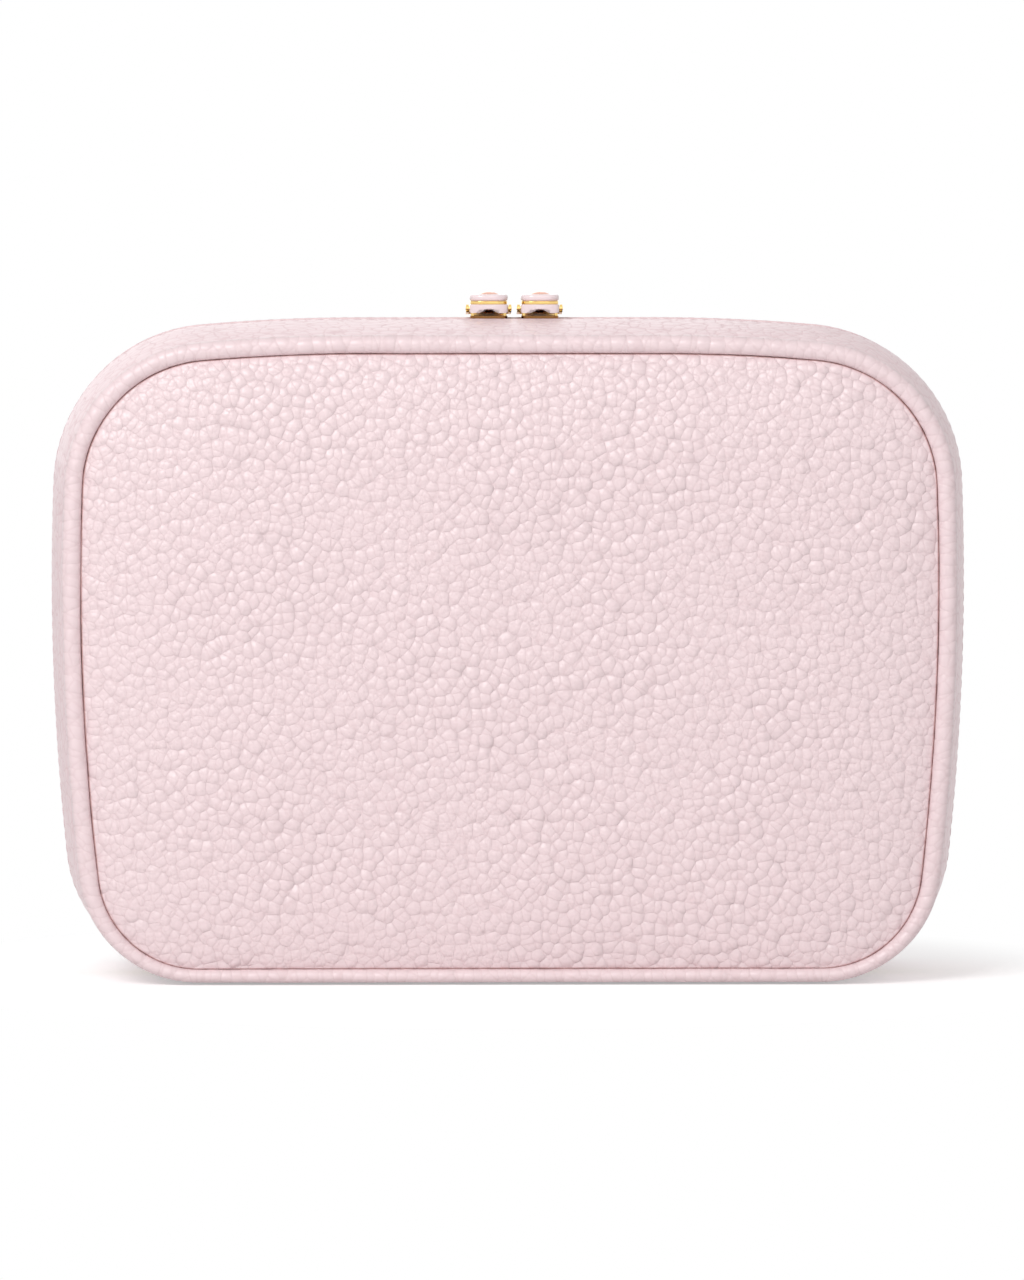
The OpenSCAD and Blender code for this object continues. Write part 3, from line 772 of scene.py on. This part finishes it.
gold = metal("gold", GOLD, 0.16)
zip_metal = metal("zip_metal", (0.90, 0.70, 0.42), 0.24)
rose_gold = metal("rose_gold", (0.86, 0.50, 0.40), 0.16)
enamel = pearl("enamel", (0.86, 0.70, 0.72), (0.93, 0.82, 0.83))
board_card = grained("board", (0.34, 0.29, 0.24), (0.22, 0.18, 0.14), 0.8 * MM)
foam_open = grained("foam", (0.88, 0.84, 0.74), (0.68, 0.62, 0.52), 0.5 * MM)
dress(["back_board", "back_core", "front_board", "front_core"], board_card)
dress(["back_foam", "back_pad", "front_foam", "front_pad"], foam_open)
print("materials:", len(bpy.data.materials))


# %% [markdown]
# ## The zip
# The tape runs along the slot between the two gussets, apart from the stretch of the hinge. Each tooth
# is a small block with rounded edges that stands square to the path; the two rows are shifted by half
# a pitch, so that they mesh.

# %% Paths along the zip
TAPE_END_X, TEETH_END_X, STITCH_END_X = 78.5 * MM, 82.3 * MM, 80 * MM


def open_path(inset, floor_z, free_x, spacing=1.0 * MM):
    """The outline from one end of the zip, over the top, to the other end, without the hinge."""
    loop = outline(inset, floor_z, spacing)
    under = (np.abs(loop[:, 0]) < free_x) & (loop[:, 1] < top_z / 2)
    path = loop[~under]
    ends = np.array([[free_x, path[0, 1]], [-free_x, path[-1, 1]]])
    return np.concatenate([ends[:1], path, ends[1:]])


def run_of(path):
    """The distance along a path at each of its points."""
    return np.concatenate([[0], np.cumsum(np.linalg.norm(np.diff(path, axis=0), axis=1))])


def at_run(path, run, at):
    """The points of a path, or the values on it, at the given distances along it."""
    return np.stack([np.interp(at, run, column) for column in path.T], axis=1)


# %% Zip tapes and teeth
def tape_shape(sign, thick=0.6 * MM):
    """A flat band between the row of teeth and the edge that is sewn under the leather."""
    inner = top_z - tape_high[2]
    y = np.linspace(tape_low[1], tape_high[1], 7)
    stations = [(inner, v) for v in y] + [(inner + thick, v) for v in y[::-1]]
    rows = [in_space(open_path(i, gusset_floor + i, TAPE_END_X), sign * v) for i, v in stations]
    grid = np.stack(rows)
    return grid_shape(grid, wrap_rows=True, wrap_columns=False, uv=lengths(grid))


def tooth(low_y, high_y, length=1.5 * MM, height=2.4 * MM):
    """A tooth about the origin: u along the zip, v across it, w into the case."""
    low, high = (-length / 2, low_y, 0), (length / 2, high_y, height)
    grid, ends = bar(low, high, 0.35 * MM, 0.3 * MM, axis=1, turns=2, middle=0)
    return grid[:, ::2], ends


def teeth_shapes(sign, shift, pitch=2.54 * MM):
    """Copies of the tooth at even steps along the path, all in one array."""
    inset = top_z - teeth_high[2]
    path = open_path(inset, gusset_floor + inset, TEETH_END_X, 0.5 * MM)
    run = run_of(path)
    at = np.arange(pitch * (0.7 + shift), run[-1] - pitch * 0.7, pitch)
    place = at_run(path, run, at)
    along = at_run(path, run, at + 0.3 * MM) - place
    along /= np.linalg.norm(along, axis=1, keepdims=True)
    grid, ends = tooth(teeth_low[1] - 0.1 * MM, teeth_high[1])
    shapes = []
    for (x, z), (ax, az) in zip(place, along):
        turn = np.array([[ax, 0, az], [0, sign, 0], [-az, 0, ax]])
        shapes.append(grid_shape(grid @ turn + [x, 0, z], poles=ends @ turn + [x, 0, z]))
    return shapes


for half, body, sign in HALVES:
    tape = make_piece(f"{half}_tape", tape_shape(sign))
    seal(tape, body, "zip_tape", zip_tape_cloth, f"{half}_zip_tape")
    row = make_piece(f"{half}_teeth", *teeth_shapes(sign, 0.0 if sign > 0 else 0.5))
    seal(row, body, "zip_metal", zip_metal, f"{half}_zip_teeth")
    print(row.name, len(row.data.polygons), "faces")

stop_low, stop_high = node_box("zip_stops")
stop_length = 2.6 * MM
stop_shapes = [
    bar_shape((x, *stop_low[1:]), (x + stop_length, *stop_high[1:]), 0.5 * MM, 0.4 * MM)
    for x in (stop_low[0], stop_high[0] - stop_length)
]
seal(make_piece("zip_end_stops", *stop_shapes), "root", "zip_metal", zip_metal, "zip_stops")


# %% [markdown]
# ## The hinge
# The two halves are joined under the case by one strip of leather, sewn along both edges, with a strip of
# lining above it. Each is one flat piece that belongs to neither body.

# %% Hinge strips
def strip_shape(low, high, across=41, columns=60):
    """A flat strip with rounded long edges, and many rows across it."""
    r = (high[2] - low[2]) / 2
    y = np.linspace(low[1] + r, high[1] - r, across)
    t = np.linspace(0, math.pi, 7)[1:-1]
    edge = np.stack([r * np.sin(t), r * np.cos(t)], axis=1)
    top = np.stack([y, np.full(across, r)], axis=1)
    loop = np.concatenate([top, [y[-1], 0] + edge, top[::-1] * [1, -1], [y[0], 0] - edge])
    x = np.linspace(low[0], high[0], columns)
    grid = points_of(x, loop[:, :1], loop[:, 1:] + (high[2] + low[2]) / 2)
    return grid_shape(grid, wrap_rows=True, wrap_columns=False, uv=grid[:, :, :2])


def bend_over_hinge(piece):
    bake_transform(piece)


for name, node, slot, material in (
    ("hinge_leather", "hinge_strip", "gusset_leather", gusset_leather),
    ("hinge_lining_strip", "hinge_lining", "lining_cloth", lining_cloth),
):
    low, high = node_box(f"back_{node}")
    low[1] = -high[1]
    strip = make_piece(name, strip_shape(low, high))
    strip.data.materials.append(material)
    set_values(strip, "seam_distance", np.ones(len(strip.data.vertices)))
    bend_over_hinge(strip)
    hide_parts(f"back_{node}", f"front_{node}")
    print(name, len(strip.data.polygons), "faces")


# %% [markdown]
# ## Stitches
# The leather's folded edge is sewn to the tape by a row of short stitches, and the hinge strip by one
# along each side. A stitch is a small rounded bar that lies along the path, sunk a little at its ends.

# %% Rows of stitches
def stitch_shapes(path, normal, stitch=2.4 * MM, gap=1.0 * MM, radius=0.20 * MM):
    """Short rounded bars along a path of points; the normal says which way the thread stands out."""
    run = run_of(path)
    f = np.array([0.0, 0.25, 0.5, 0.75, 1.0])
    thick = radius * np.array([0.55, 0.95, 1.0, 0.95, 0.55])
    turn = 2 * math.pi * np.arange(6)[None, :, None] / 6
    shapes = []
    for start in np.arange(gap, run[-1] - stitch, stitch + gap):
        mid = at_run(path, run, start + f * stitch)
        out = at_run(normal, run, start + f * stitch)
        side = np.cross(mid[-1] - mid[0], out[2])
        side /= np.linalg.norm(side)
        ring = out[:, None] * np.sin(turn) + side * np.cos(turn)
        grid = mid[:, None] + ring * thick[:, None, None] - out[:, None] * 0.6 * radius
        shapes.append(grid_shape(grid, poles=[mid[0], mid[-1]]))
    return shapes


def gusset_seam(sign, y):
    """The path of the row of stitches beside the zip, and its outward directions."""
    inset, floor_z = gusset_face(y)[:2]
    path = open_path(inset, floor_z, STITCH_END_X)
    ahead = np.gradient(path, axis=0)
    ahead /= np.linalg.norm(ahead, axis=1, keepdims=True)
    return in_space(path, sign * y), points_of(ahead[:, 1], 0, -ahead[:, 0])


for half, body, sign in HALVES:
    seam = make_piece(f"{half}_gusset_stitches", *stitch_shapes(*gusset_seam(sign, slot_y + 2.0 * MM)))
    seal(seam, body, "gusset_leather", thread)
    hinge_row = np.array([[-76, 26.5 * sign, 0.05], [76, 26.5 * sign, 0.05]]) * MM
    row = stitch_shapes(hinge_row, np.array([[0, 0, -1.0], [0, 0, -1.0]]), radius=0.16 * MM)
    seal(make_piece(f"{half}_hinge_stitches", *row), body, "gusset_leather", thread)
    print(seam.name, len(seam.data.polygons), "faces")


# %% [markdown]
# ## The lining
# Each half is lined with a cloth tray: walls that follow the outline and a floor over the board. The
# cloth rounds the corner between wall and floor, and on the floor it is a little loose.

# %% Lining trays
def tray_grid(sign, seed, corner=4.0 * MM, cloth_t=0.8 * MM):
    """Rows from the outside of the floor, over the wall and its mouth, to the middle of the inside."""
    outer_in = half_w - lining_high[0]
    inner_in, inner_z = outer_in + cloth_t, lining_low[2] + cloth_t
    mouth, back = lining_low[1], lining_high[1]
    floor_y = back - cloth_t
    mid = np.array([0.0, (top_z + lining_low[2]) / 2])
    rows = []

    def ring(inset, z, y, s=1.0):
        rows.append(in_space(mid + s * (outline(inset, z) - mid), y))

    for s in (0.25, 0.6, 0.9, 1.0):
        ring(outer_in, lining_low[2], back, s)
    for y in np.linspace(back - 1 * MM, mouth, 8):
        ring(outer_in, lining_low[2], y)
    for y in np.linspace(mouth, floor_y - corner, 20):
        ring(inner_in, inner_z, y)
    loose_from = len(rows)
    for t in np.linspace(0, math.pi / 2, 8)[1:]:
        shift = corner * (1 - math.cos(t))
        ring(inner_in + shift, inner_z + shift, floor_y - corner + corner * math.sin(t))
    for s in (0.95, 0.88, 0.78, 0.66, 0.52, 0.38, 0.22, 0.08):
        ring(inner_in + corner, inner_z + corner, floor_y, s)
    grid = np.array(rows)
    slack = np.minimum(0.20 * MM * unevenness(grid, 34 * MM, seed) - 0.22 * MM, 0)
    grid[loose_from:, :, 1] += slack[loose_from:]
    poles = [[0, back, mid[1]], [0, floor_y - 0.2 * MM, mid[1]]]
    return on_half(grid, sign), on_half(poles, sign)


for half, body, sign in HALVES:
    grid, poles = tray_grid(sign, 61 + sign)
    tray = grid_piece(f"{half}_lining_tray", grid, poles=poles)
    seal(tray, body, "lining_cloth", lining_cloth, f"{half}_lining")
    print(tray.name, len(tray.data.polygons), "faces")


# %% [markdown]
# ## What is inside
# The base is divided by padded boards: a long one across and three short ones. Each is covered with
# cloth, bound along its free edge, and held by strips of hook tape at its ends.

# %% Padded dividers
def padded_board(name, node, long_axis, binding_t=0.12 * MM, binding_w=5 * MM):
    """A board with soft edges, and a binding that runs along its free edge."""
    low, high = node_box(node)
    body = bar_shape(low + [0, 0.6 * MM, 0], high, 1.6 * MM, 1.2 * MM, axis=long_axis, middle=8)
    thin_axis = 2 - long_axis
    edge_low, edge_high = low.copy(), high.copy()
    edge_high[1] = low[1] + binding_w
    edge_low[thin_axis] -= binding_t
    edge_high[thin_axis] += binding_t
    edge_low[long_axis] += 0.3 * MM
    edge_high[long_axis] -= 0.3 * MM
    edge = bar_shape(edge_low, edge_high, 2.2 * MM, 0.8 * MM, axis=long_axis, middle=8)
    board = make_piece(name, body, edge)
    return seal(board, "root", "divider_cloth", divider_cloth, node)


for node, axis in (("long_divider", 0), ("left_divider", 2), ("right_divider", 2), ("lower_divider", 2)):
    padded_board(f"{node}_board", node, axis)


# %% Hook strips
hooks_low, hooks_high = node_box("divider_hooks")
long_low, long_high = node_box("long_divider")


def hook_strip(x0, x1, z0, z1):
    low, high = (x0, hooks_low[1], z0), (x1, hooks_high[1], z1)
    return bar_shape(low, high, 0.4 * MM, 0.4 * MM, axis=1)


hook_inset = 0.5 * MM
hook_t = 1 * MM
hook_shapes = [
    hook_strip(x0, x1, long_low[2] + hook_inset, long_high[2] - hook_inset)
    for x0, x1 in ((hooks_low[0], long_low[0]), (long_high[0], hooks_high[0]))
]
for node in ("left_divider", "right_divider", "lower_divider"):
    low, high = node_box(node)
    for z0 in (low[2] - hook_t, high[2]):
        hook_shapes.append(hook_strip(low[0] + hook_inset, high[0] - hook_inset, z0, z0 + hook_t))
seal(make_piece("hook_strips", *hook_shapes), "root", "hook_tape", hook_tape, "divider_hooks")
print("dividers and", len(hook_shapes), "hook strips")


# %% [markdown]
# ## The lid's inside
# The lid carries a slip pocket with an elastic mouth. Its cloth is cut wider than its place and
# gathered, so it hangs in shallow folds that fade towards the bottom. Above the pocket an elastic band
# is sewn down between five loops for brushes. Both are walls with a front and a back face.

# %% The lid's pocket
def along_front(low, high, corner=6 * MM, steps=9):
    """A path from the lining at one side, round the pocket's front, to the lining at the other side."""
    a = np.linspace(0, math.pi / 2, steps)
    left = np.stack([low[0] + corner * (1 - np.cos(a)), high[1] - corner * np.sin(a)], axis=1)
    start = np.array([[low[0], low[1]]])
    x = np.linspace(left[-1, 0], -left[-1, 0], 120)[1:-1]
    front = np.stack([x, np.full(len(x), left[-1, 1])], axis=1)
    return np.concatenate([start, left, front, left[::-1] * [-1, 1], start * [-1, 1]])


def pocket_shape(cloth_t=0.7 * MM, fold_pitch=17 * MM, fold_depth=0.99 * MM):
    """A thin cloth wall that is gathered at its mouth and curves back to the lining underneath."""
    low, high = node_box("lid_pocket")
    x, y = along_front(low, high).T
    t = np.linspace(0, 1, 36)[:, None]
    z = low[2] + (high[2] - low[2] + 1 * MM) * t
    tuck = np.sqrt(np.clip(1 - ((0.10 - np.minimum(t, 0.10)) / 0.10) ** 2, 0, 1))
    in_front = (np.abs(x) < high[0] - 8 * MM) & (t > 0.05)
    folds = np.abs(np.sin(x * 2 * math.pi / fold_pitch + 0.9 * np.sin(x * 60)))
    sag = 0.5 * np.sin(math.pi * t) + t ** 3
    walls = []
    for thick, least in ((0.0, 0.12 * MM), (cloth_t, 0.10 * MM)):
        depth = np.clip(y - low[1] - thick, least, None) * np.maximum(tuck, 0.05)
        wall_x = x - np.sign(x) * np.minimum(thick, np.abs(x))
        walls.append(points_of(wall_x, low[1] + depth - fold_depth * in_front * folds * sag, z))
    grid = np.concatenate([walls[0], walls[1][::-1]])
    return grid_shape(grid, wrap_rows=True, wrap_columns=False, uv=grid[:, :, ::2])


pocket = make_piece("slip_pocket", pocket_shape())
seal(pocket, "lid", "lining_cloth", lining_cloth, "lid_pocket")
binding_grid, binding_ends = bar(*node_box("pocket_binding"), 1.0 * MM, 0.8 * MM, axis=0, middle=180)
binding_x = binding_grid[:, :, 0]
ripple = np.sin(binding_x * 2 * math.pi / (3.6 * MM) + 2 * np.sin(binding_x * 90))
binding_grid[:, :, 1] += 0.25 * MM * ripple * (np.abs(binding_x) < 93 * MM)
binding = make_piece("pocket_mouth", grid_shape(binding_grid, poles=binding_ends))
seal(binding, "lid", "elastic", elastic, "pocket_binding")
print("pocket:", len(pocket.data.polygons), "faces")


# %% The brush band
def brush_band_shape(loops=5, pitch=30 * MM, radius=8 * MM, band_t=0.9 * MM):
    """A band that stands out as a half round at each loop and lies flat between loops."""
    low, high = node_box("brush_band")
    x = np.linspace(low[0], high[0], 321)
    nearest = np.round(np.clip(x / pitch, -(loops // 2), loops // 2)) * pitch
    off = (x - nearest) / (radius + 0.6 * MM)
    rise = np.sqrt(np.clip(1 - off ** 2, 0, 1))
    flat_y = low[1] + 0.05 * MM
    face = flat_y + band_t + (high[1] - flat_y - band_t) * rise
    inner = np.maximum(face - band_t, flat_y)
    z = np.linspace(low[2], high[2], 9)[:, None]
    pinch = 1 - 0.06 * np.cos(math.pi * (z - low[2]) / (high[2] - low[2])) ** 2
    walls = [points_of(x, low[1] + (depth - low[1]) * pinch, z) for depth in (face, inner)]
    grid = np.concatenate([walls[0], walls[1][::-1]])
    return grid_shape(grid, wrap_rows=True, wrap_columns=False, uv=grid[:, :, ::2])


seal(make_piece("brush_loops", brush_band_shape()), "lid", "elastic", elastic, "brush_band")
print("brush band made")


# %% [markdown]
# ## The sliders
# Each slider is a small polished jewel on the zip: two gold plates on the chain, gold feet, an enamel
# crown with an arch at the front, a gold groove, an upper enamel band and a rose gold cap. Their edges
# are rounded, since a sharp edge would catch no light.

# %% Crowns, bands and caps
def crown_shape(low, high, arch_half=3.95 * MM, arch_rise=0.85 * MM, edge=0.45 * MM):
    """The crown's face is a wide block with an arch under it; its plan is a rounded rectangle."""
    centre, (a, b, _) = (low + high) / 2, (high - low) / 2
    h = high[2] - low[2]
    arch_top = arch_half - 0.9 * MM
    arch = [(-arch_half, 0), (-arch_top, arch_rise), (arch_top, arch_rise), (arch_half, 0)]
    radii = [edge, 0.1 * MM, 0.3 * MM, 0.3 * MM, 0.1 * MM, edge, edge, edge]
    loop = rounded_loop([(-a, 0), *arch, (a, 0), (a, h), (-a, h)], radii)
    t = np.linspace(-math.pi / 2, math.pi / 2, 25)[1:-1]
    wide = a * (1 - np.abs(np.sin(t)) ** 8) ** 0.25
    grid = np.stack([
        points_of(centre[0] + np.clip(loop[:, 0], -w, w), centre[1] + v, low[2] + loop[:, 1])
        for v, w in zip(b * np.sin(t), wide)
    ])
    ends = [[centre[0], low[1], centre[2]], [centre[0], high[1], centre[2]]]
    return grid_shape(grid, poles=ends)


def dome_shape(low, high, rows=12, sides=40):
    """A flat dome: circles whose height falls off with the square of their radius."""
    centre = (low + high) / 2
    r, h = (high[0] - low[0]) / 2, high[2] - low[2]
    s = np.sin(np.linspace(0.12, math.pi / 2, rows))[:, None]
    turn = 2 * math.pi * np.arange(sides) / sides
    grid = points_of(centre[0] + r * s * np.cos(turn), centre[1] + r * s * np.sin(turn), high[2] - h * s ** 2)
    return grid_shape(grid, poles=[[*centre[:2], high[2]], [*centre[:2], low[2]]])


def painted_shade_below(material, level, colour, fade=0.05 * MM):
    """Painted shade in the recess under the crown: below the level the metal turns to this darker colour."""
    tree = material.node_tree
    shader = tree.nodes["Principled BSDF"]
    before = shader.inputs["Base Color"].links[0].from_socket
    height = add_node(tree, "SeparateXYZ", {0: own_place(tree)}).outputs[2]
    above = ramp(tree, height, level - fade, level + fade)
    set_colour(tree, shader, mix_colour(tree, above, colour, before))
    return material


def slider_parts(side):
    """For each shaped part of a slider: its node, its piece's name, its shape, its slot and material."""
    crown, groove, band, cap = [node_box(f"{side}_{p}") for p in ("crown", "groove_band", "top_band", "cap")]
    return (
        ("crown", "crown_block", crown_shape(*crown), "enamel", enamel),
        ("groove_band", "groove_ring", bar_shape(*groove, 3.0 * MM, 0.15 * MM), "gold", gold),
        ("top_band", "top_block", bar_shape(*band, 3.3 * MM, 0.7 * MM, turns=7), "enamel", enamel),
        ("cap", "cap_dome", dome_shape(*cap), "rose_gold", rose_gold),
    )


plate_level = node_box("left_rivet")[0][2] - 0.5 * MM
# painted shade: the slider's gold turns dark brown below the plate's top, in the recess under the crown
gold_with_recess_shade = painted_shade_below(metal("gold_recess_shade", GOLD, 0.16), plate_level, (0.30, 0.14, 0.05))
# painted shade: the rivet is gold, given a darker brown copy of the gold for the shadow it sits in under the
# crown
gold_in_shade = metal("gold_in_shade", (0.62, 0.27, 0.07), 0.22)
for side in ("left", "right"):
    for node, name, shape, slot, material in slider_parts(side):
        seal(make_piece(f"{side}_{name}", shape), f"{side}_slider", slot, material, f"{side}_{node}")
    dress([f"{side}_slider"], gold_with_recess_shade)
    dress([f"{side}_pivots", f"{side}_pull"], gold)
    dress([f"{side}_rivet"], gold_in_shade)
    dress([f"{side}_pull_inlay"], enamel)
print("sliders dressed")


# %% [markdown]
# ## The stage
# The case stands on white paper in a white room. The paper is a real surface that takes the case's
# shadow; seen directly it is lifted to white by a little light of its own, which falls on nothing
# else, so the lamps can stay low enough for the pale leather to keep its colour.

# %% Floor and surroundings
floor_mesh = bpy.data.meshes.new("floor")
floor_mesh.from_pydata([(-6, -6, 0), (6, -6, 0), (6, 8, 0), (-6, 8, 0)], [], [(0, 1, 2, 3)])
floor = bpy.data.objects.new("floor", floor_mesh)
bpy.context.scene.collection.objects.link(floor)


def seen_white(tree):
    """1 for camera, glossy and transmission rays, which see the plain white surroundings."""
    path = add_node(tree, "LightPath")
    first = calc(tree, "MAXIMUM", path.outputs["Is Camera Ray"], path.outputs["Is Glossy Ray"])
    return calc(tree, "MAXIMUM", first, path.outputs["Is Transmission Ray"])


def floor_material(lift=0.38, fade_from=0.12, fade_to=0.175):
    """White paper: it takes shadows as a matt surface, seen directly it is lifted to white, and away
    from the case it fades into the white surroundings."""
    material, tree, shader = new_material("floor_white", roughness=1.0)
    shader.inputs["Base Color"].default_value = (0.86, 0.86, 0.86, 1)
    shader.inputs["Specular IOR Level"].default_value = 0.0
    glow = add_node(tree, "Emission", {"Strength": calc(tree, "MULTIPLY", seen_white(tree), lift)})
    both = add_node(tree, "AddShader", {0: shader.outputs[0], 1: glow.outputs[0]})
    away = add_node(tree, "VectorMath", {0: own_place(tree)}, operation="LENGTH").outputs["Value"]
    far = calc(tree, "MULTIPLY", ramp(tree, away, fade_from, fade_to), seen_white(tree))
    white = add_node(tree, "Emission", {"Strength": 1.0})
    mixed = add_node(tree, "MixShader", {0: far, 1: both.outputs[0], 2: white.outputs[0]})
    tree.links.new(mixed.outputs[0], tree.nodes["Material Output"].inputs["Surface"])
    return material


def studio_world(fill=0.52):
    """White when seen, and a softer even fill as a light."""
    world = bpy.data.worlds.new("studio")
    world.use_nodes = True
    tree = world.node_tree
    background = tree.nodes["Background"]
    tree.links.new(ramp(tree, seen_white(tree), 0.0, 1.0, fill, 1.0), background.inputs["Strength"])
    background.inputs["Color"].default_value = (1, 1, 1, 1)
    return world


floor_mesh.materials.append(floor_material())
bpy.context.scene.world = studio_world()
print("floor and world made")


# %% [markdown]
# ## Light and camera
# One large soft light stands high in front on the left and gives the shading. Two weak ones open the
# shadows in front and behind. The camera stands far off with a long lens, a little above the case.

# %% Lights
CASE_MIDDLE = (0, 0, 0.09)


def aim(thing, target):
    """Turns a light or camera so that it looks at the target."""
    away = np.array(thing.location) - np.array(target)
    flat = math.hypot(away[0], away[1])
    thing.rotation_euler = (math.atan2(flat, away[2]), 0, math.atan2(away[0], -away[1]))


def area_light(name, place, size, power):
    """A square soft light at place, turned to the case."""
    data = bpy.data.lights.new(name, "AREA")
    data.shape = "SQUARE"
    data.size = size
    data.energy = power
    light = bpy.data.objects.new(name, data)
    light.location = place
    aim(light, CASE_MIDDLE)
    bpy.context.scene.collection.objects.link(light)


area_light("key", (-0.60, -1.35, 1.05), 0.7, 15)
area_light("front_fill", (0.5, -2.4, 0.9), 1.2, 3)
area_light("back_fill", (-0.4, 1.8, 0.7), 1.2, 3)
print("lights:", len(bpy.data.lights))


# %% Camera
view_distance = 3.0
view_width = 280.9856 * MM
view_side = math.radians(-1.0)
view_height = math.radians(3.2)
target = np.array([1.2, 0, 91.4]) * MM
camera_data = bpy.data.cameras.new("camera")
camera_data.sensor_fit = "HORIZONTAL"
camera_data.sensor_width = 36
camera_data.lens = camera_data.sensor_width * view_distance / view_width
camera_data.clip_end = 50
camera = bpy.data.objects.new("camera", camera_data)
camera.location = target + view_distance * np.array([
    math.sin(view_side) * math.cos(view_height),
    -math.cos(view_side) * math.cos(view_height),
    math.sin(view_height),
])
aim(camera, target)
bpy.context.scene.collection.objects.link(camera)
bpy.context.scene.camera = camera
bpy.context.scene.view_settings.view_transform = "Standard"
print(f"lens {camera_data.lens:.0f} mm")
